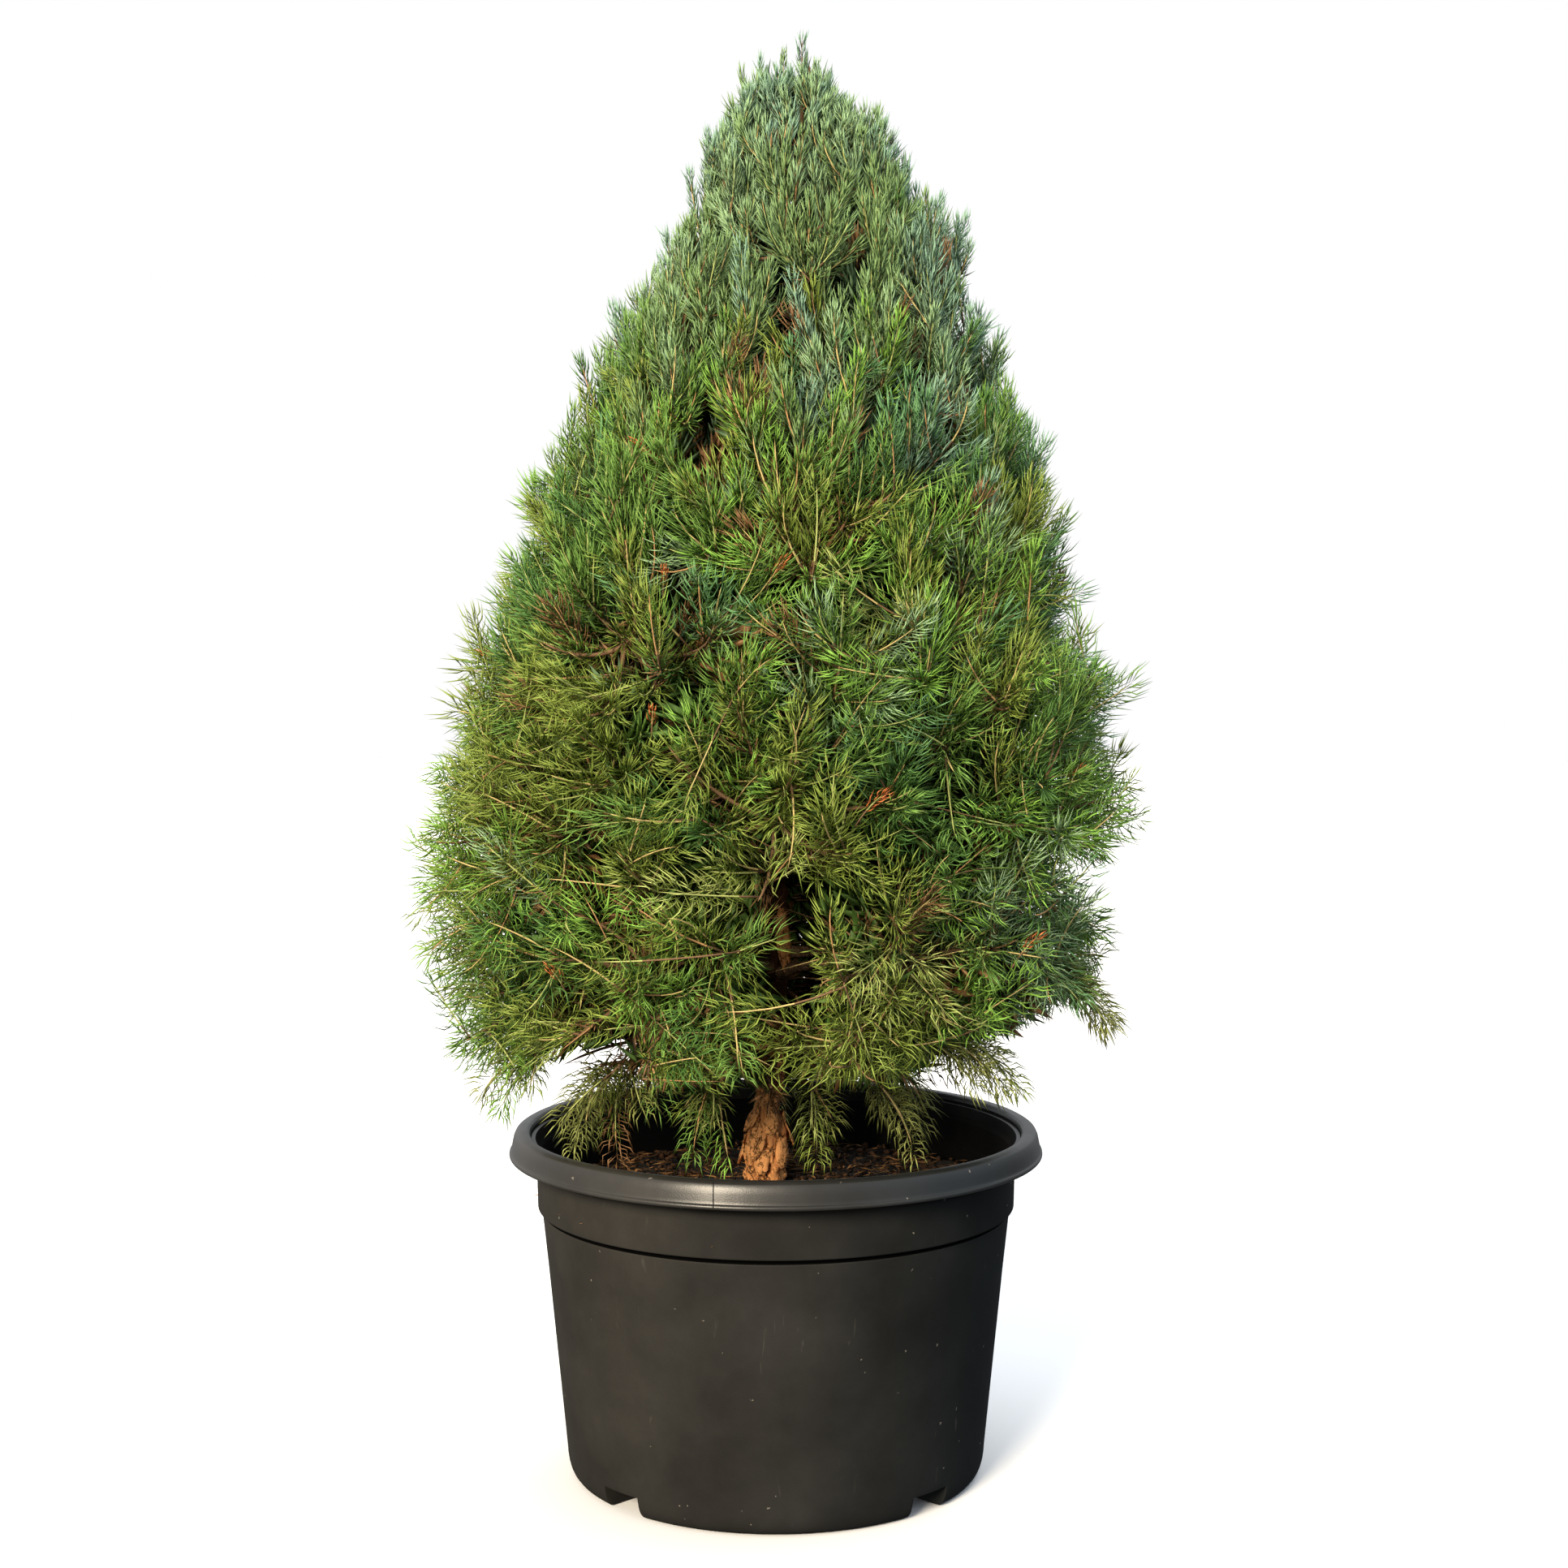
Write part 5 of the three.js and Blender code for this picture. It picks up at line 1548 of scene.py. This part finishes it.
class PINE_OT_grow_limbs(bpy.types.Operator):
    """Draws out the trunk and its boughs and raises the bark's relief on them"""

    bl_idname = "pine.grow_limbs"
    bl_label = "Grow Limbs"

    def execute(self, context):
        settings = context.scene.pine_bark
        heights = list(np.arange(TRUNK_LOW.z, 0.375, 0.010))
        heights += list(np.arange(0.390, TRUNK_TIP_Z - 0.01, 0.028)) + [TRUNK_TIP_Z]
        centres = [trunk_centre(z) for z in heights]
        radii = [trunk_radius(z, settings.foot_radius) for z in heights]
        trunk = draw_out("pine_trunk", 16, centres, radii)
        apply_modifier(trunk, "SUBSURF", "round", levels=3, render_levels=3)
        grain = upright_grain(1.25)
        for name, kind, size, share in (("plates", "VORONOI", 0.0085, 0.8),
                                        ("ridges", "CLOUDS", 0.016, 1.2),
                                        ("lumps", "STUCCI", 0.006, 0.7),
                                        ("crumbs", "CLOUDS", 0.0028, 0.5)):
            apply_modifier(trunk, "DISPLACE", name, strength=settings.relief * share,
                           mid_level=0.5, texture_coords="OBJECT", texture_coords_object=grain,
                           texture=rough_texture("trunk_" + name, kind, size))
        select_only(trunk)
        bpy.ops.object.shade_smooth()
        plate, flake, crack = settings.plate_colour, settings.flake_colour, settings.crack_colour
        # Above 0.385 m the trunk's bark is painted dark, as shade under the crown.
        trunk.data.materials.append(bark_material("flaking_bark", plate, flake, crack, 70.0,
                                                  0.385))
        settle(trunk, ["trunk"])
        points, faces = join_arrays([bark_flake(*place, settings.foot_radius)
                                     for place in FLAKES])
        flakes = mesh_from_arrays("bark_flakes", points, faces, [
            bark_material("loose_flake", flake, flake, crack, 110.0)])
        settle(flakes, ["trunk"])
        limbs = []
        for mass in place_masses():
            if mass["bough"]:
                points, _ = along_curve(mass["bough"], np.linspace(0, 1, 7))
                radii = np.linspace(*mass["bough_radii"], 7)
                limbs.append(draw_out(mass["name"] + "_limb", 8, points, radii))
        clear_selection()
        for limb in limbs:
            limb.select_set(True)
        bpy.context.view_layer.objects.active = limbs[0]
        bpy.ops.object.join()
        boughs = name_piece(bpy.context.object, "pine_boughs")
        apply_modifier(boughs, "SUBSURF", "round", levels=2, render_levels=2)
        apply_modifier(boughs, "DISPLACE", "scales", strength=0.0016, mid_level=0.5,
                       texture=rough_texture("bough_scales", "CLOUDS", 0.006, noise_depth=3))
        select_only(boughs)
        bpy.ops.object.shade_smooth()
        bough = settings.bough_colour
        boughs.data.materials.append(bark_material("bough_bark", bough, shaded(bough, 1.7), crack,
                                                   160.0))
        settle(boughs, BOUGH_NODES)
        bpy.data.objects.remove(grain)
        return {"FINISHED"}


class PINE_OT_grow_foliage(bpy.types.Operator):
    """Grows every spray: stems and twigs, and the needles in their colours"""

    bl_idname = "pine.grow_foliage"
    bl_label = "Grow Foliage"

    def execute(self, context):
        settings = context.scene.pine_crown
        rng = np.random.default_rng(SEED)
        masses, branchlets, shoots = grow_crown(settings, rng)
        self.grow_twigs(settings, masses, branchlets, shoots, rng)
        groups = {name: [] for name in NEEDLE_COLOURS}
        spray_luck = rng.normal(0, 1, (len(branchlets) + 1, 2))
        for shoot in shoots:
            colour = needle_colour(shoot, spray_luck[shoot["spray"]], rng)
            groups[colour].append(needles_on(shoot, settings, rng))
        groups["dead_brown"] += inner_needles(masses, branchlets, settings, rng)
        for name, parts in groups.items():
            self.make_needles(name, getattr(settings, name), parts)
        return {"FINISHED"}

    def grow_twigs(self, settings, masses, branchlets, shoots, rng):
        """The stems and branchlets as one piece, and the shoots' twigs as another."""
        old, young = [], []
        for mass in masses:
            root = mass["bough_radii"][1] if mass["bough"] else 0.0042
            stem = mass["stem"]
            if mass["tier"] == "skirt":
                stem = (*stem[:3], stem[2] * 0.6 + stem[3] * 0.4 + [0, 0, 0.006])
            old.append(tapering_tube(stem, root * 1.02, 0.0012, 7, 10))
        for branchlet in branchlets:
            size = shoot_size(branchlet["z"])
            old.append(tapering_tube(branchlet["curve"], 0.0026 * size, 0.0010 * size, 5, 7))
        looks = []
        for shoot in shoots:
            steps = 2 if shoot["layer"] in ("inner", "core") else 5
            young.append(tapering_tube(shoot["curve"], 0.00110 * shoot["size"], 0.0006, 3, steps))
            along = np.array([0, *np.repeat(np.arange(steps - 1), 2), steps - 1]) / steps
            look = np.where(along < shoot["bare"], 3, int(rng.choice(3, p=[0.42, 0.45, 0.13])))
            looks.append(np.tile(look, 3))
        wood = [plain_wood("old_twig", settings.old_twig_colour)]
        piece = mesh_from_arrays("old_twigs", *join_arrays(old), wood)
        settle(piece, MASS_NODES)
        colour = settings.twig_colour
        woods = [plain_wood("young_twig", colour),
                 plain_wood("young_twig_green", np.multiply(colour, (0.7, 1.0, 0.8))),
                 plain_wood("young_twig_orange", np.multiply(colour, (0.9, 0.66, 0.7))),
                 plain_wood("bare_twig", shaded(settings.old_twig_colour, 0.9))]
        piece = mesh_from_arrays("young_twigs", *join_arrays(young), woods, np.concatenate(looks))
        settle(piece, MASS_NODES)

    def make_needles(self, name, colour, parts):
        """Joins one colour's needles into as many pieces as their triangles need."""
        tints = needle_tints("needles_" + name, colour)
        batch, batches, count = [], [], 0
        for part in parts:
            faces = len(part[1])
            if count + faces > PIECE_TRIANGLES:
                batches.append(batch)
                batch, count = [], 0
            batch.append(part)
            count += faces
        batches.append(batch)
        for k, batch in enumerate(batches):
            if not batch:
                continue
            points, faces = join_arrays([part[:2] for part in batch])
            looks = np.concatenate([part[2] for part in batch])
            title = f"needles_{name}" + (f"_{k + 1}" if k else "")
            piece = mesh_from_arrays(title, points, faces, tints, looks)
            settle(piece, MASS_NODES)


def inner_needles(masses, branchlets, settings, rng):
    """Withered needles that still sit on the inner twigs, where the crown is dark."""
    parts = []
    curves = [(branchlet["curve"], 34) for branchlet in branchlets if branchlet["z"] < 1.1]
    curves += [(mass["stem"], 80) for mass in masses[:-1]]
    for curve, count in curves:
        way = rng.uniform(0.08, 0.85, count)
        roots, axes = along_curve(curve, way)
        across, aside = square_to(axes)
        around = rng.uniform(0, 2 * math.pi, count)
        lean = rng.uniform(0.7, 1.5, count)
        spoke = turned(across, aside, around)
        ahead = turned(axes, spoke, lean)
        ahead[:, 2] -= 0.35
        length = rng.uniform(0.012, 0.024, count)[:, None]
        tips = roots + unit(ahead) * length
        middles = (roots + tips) / 2 + spoke * length * 0.07
        keep = (cleft_depth(middles) < 0.004) & (cleft_depth(tips) < 0.004)
        left = int(keep.sum())
        points, faces = slivers(roots[keep], middles[keep], tips[keep],
                                np.full(left, settings.needle_width * 1.1))
        parts.append((points, faces, np.repeat(rng.integers(0, 3, left), 4)))
    return parts


def studio_sky(settings):
    """White to the camera, and a soft light from above, a little stronger from the left, that
    fades towards the ground."""
    world = bpy.data.worlds.new("studio")
    world.use_nodes = True
    tree = world.node_tree
    way = add_node(tree, "ShaderNodeTexCoord").outputs["Generated"]
    rise = vector_maths(tree, "DOT_PRODUCT", way, (-0.18, 0.0, 1.0), output="Value")
    even = ramp(tree, mask(tree, rise, -0.35, 0.35), (0.0, (0.16, 0.16, 0.16)),
                (1.0, (0.94, 0.97, 1.0)))
    light = tree.nodes["Background"]
    tree.links.new(even, light.inputs["Color"])
    light.inputs["Strength"].default_value = settings.sky_strength
    white = add_node(tree, "ShaderNodeBackground", {"Color": (1, 1, 1, 1), "Strength": 1.0})
    seen = add_node(tree, "ShaderNodeLightPath").outputs["Is Camera Ray"]
    both = add_node(tree, "ShaderNodeMixShader", {0: seen, 1: light.outputs[0],
                                                  2: white.outputs[0]})
    tree.links.new(both.outputs[0], tree.nodes["World Output"].inputs["Surface"])
    return world


def add_lamp(name, kind, power, colour, aim, away, **settings):
    """A lamp that stands away from its aim and faces it."""
    light = bpy.data.lights.new(name, kind)
    light.energy = power
    light.color = tuple(colour)
    for key, value in settings.items():
        setattr(light, key, value)
    lamp = bpy.data.objects.new(name, light)
    bpy.context.scene.collection.objects.link(lamp)
    lamp.location = Vector(aim) + Vector(away)
    way = Vector(aim) - lamp.location
    lamp.rotation_euler = way.to_track_quat("-Z", "Y").to_euler()


class PINE_OT_set_stage(bpy.types.Operator):
    """Sets the floor, the studio light and the camera"""

    bl_idname = "pine.set_stage"
    bl_label = "Set Stage"

    def execute(self, context):
        settings = context.scene.pine_stage
        scene = context.scene
        clear_selection()
        bpy.ops.mesh.primitive_circle_add(vertices=96, radius=14, fill_type="NGON",
                                          location=(0, 0, -0.0005))
        floor = name_piece(bpy.context.object, "studio_floor")
        keep_place()
        material, _, _ = new_material("pale_floor", settings.floor_colour, 0.9)
        floor.data.materials.append(material)
        for name, turn, elevation, spread, strength, colour in (
                ("key", -26, 25, 20, settings.key_strength, settings.key_colour),
                ("top", 150, 78, 50, settings.top_strength, (0.92, 0.96, 1.0)),
                ("cool", 72, 22, 70, settings.cool_strength, (0.42, 0.68, 1.0))):
            add_lamp(name, "SUN", strength, colour, (0, 0, 0), 3 * heading(turn, elevation),
                     angle=math.radians(spread))
        for name, turn, elevation, spread, power, softness, aim in (
                ("low", -27, 9, 11, settings.low_power, 0.10, (0.045, -0.06, 0.332)),
                ("cleft", 1, 9, 3.2, settings.cleft_power, 0.02, (0.012, -0.04, 0.520))):
            add_lamp(name, "SPOT", power, settings.key_colour, aim, 2.6 * heading(turn, elevation),
                     spot_size=math.radians(spread), spot_blend=0.9, shadow_soft_size=softness)
        floor.visible_diffuse = floor.visible_glossy = False
        scene.world = studio_sky(settings)
        camera = bpy.data.cameras.new("photo_camera")
        camera.sensor_width = SENSOR_WIDTH
        camera.lens = LENS
        eye = bpy.data.objects.new("photo_camera", camera)
        scene.collection.objects.link(eye)
        eye.location = EYE
        eye.rotation_euler = (math.pi / 2 - EYE_DROP, 0, 0)
        scene.camera = eye
        scene.view_settings.view_transform = "Standard"
        return {"FINISHED"}


class PINE_PT_sidebar(bpy.types.Panel):
    """Lists the steps that make the plant"""

    bl_idname = "PINE_PT_sidebar"
    bl_label = "Potted Pine"
    bl_space_type = "VIEW_3D"
    bl_region_type = "UI"
    bl_category = "Pine"

    def draw(self, context):
        steps = (("pine.turn_pot", "pine_pot"), ("pine.fill_pot", "pine_mulch"),
                 ("pine.grow_limbs", "pine_bark"), ("pine.grow_foliage", "pine_crown"),
                 ("pine.set_stage", "pine_stage"))
        for operator, group in steps:
            box = self.layout.box()
            box.operator(operator)
            settings = getattr(context.scene, group)
            for name in settings.__annotations__:
                box.prop(settings, name)


SETTINGS = {"pine_pot": PotSettings, "pine_mulch": MulchSettings, "pine_bark": BarkSettings,
            "pine_crown": CrownSettings, "pine_stage": StageSettings}
CLASSES = (*SETTINGS.values(), PINE_OT_turn_pot, PINE_OT_fill_pot, PINE_OT_grow_limbs,
           PINE_OT_grow_foliage, PINE_OT_set_stage, PINE_PT_sidebar)


def register():
    for made in CLASSES:
        bpy.utils.register_class(made)
    for name, group in SETTINGS.items():
        setattr(bpy.types.Scene, name, PointerProperty(type=group))


def unregister():
    for name in SETTINGS:
        delattr(bpy.types.Scene, name)
    for made in reversed(CLASSES):
        bpy.utils.unregister_class(made)


def main():
    register()
    bpy.ops.pine.set_stage()
    bpy.ops.pine.turn_pot()
    bpy.ops.pine.fill_pot()
    bpy.ops.pine.grow_limbs()
    bpy.ops.pine.grow_foliage()


if __name__ == "__main__":
    main()
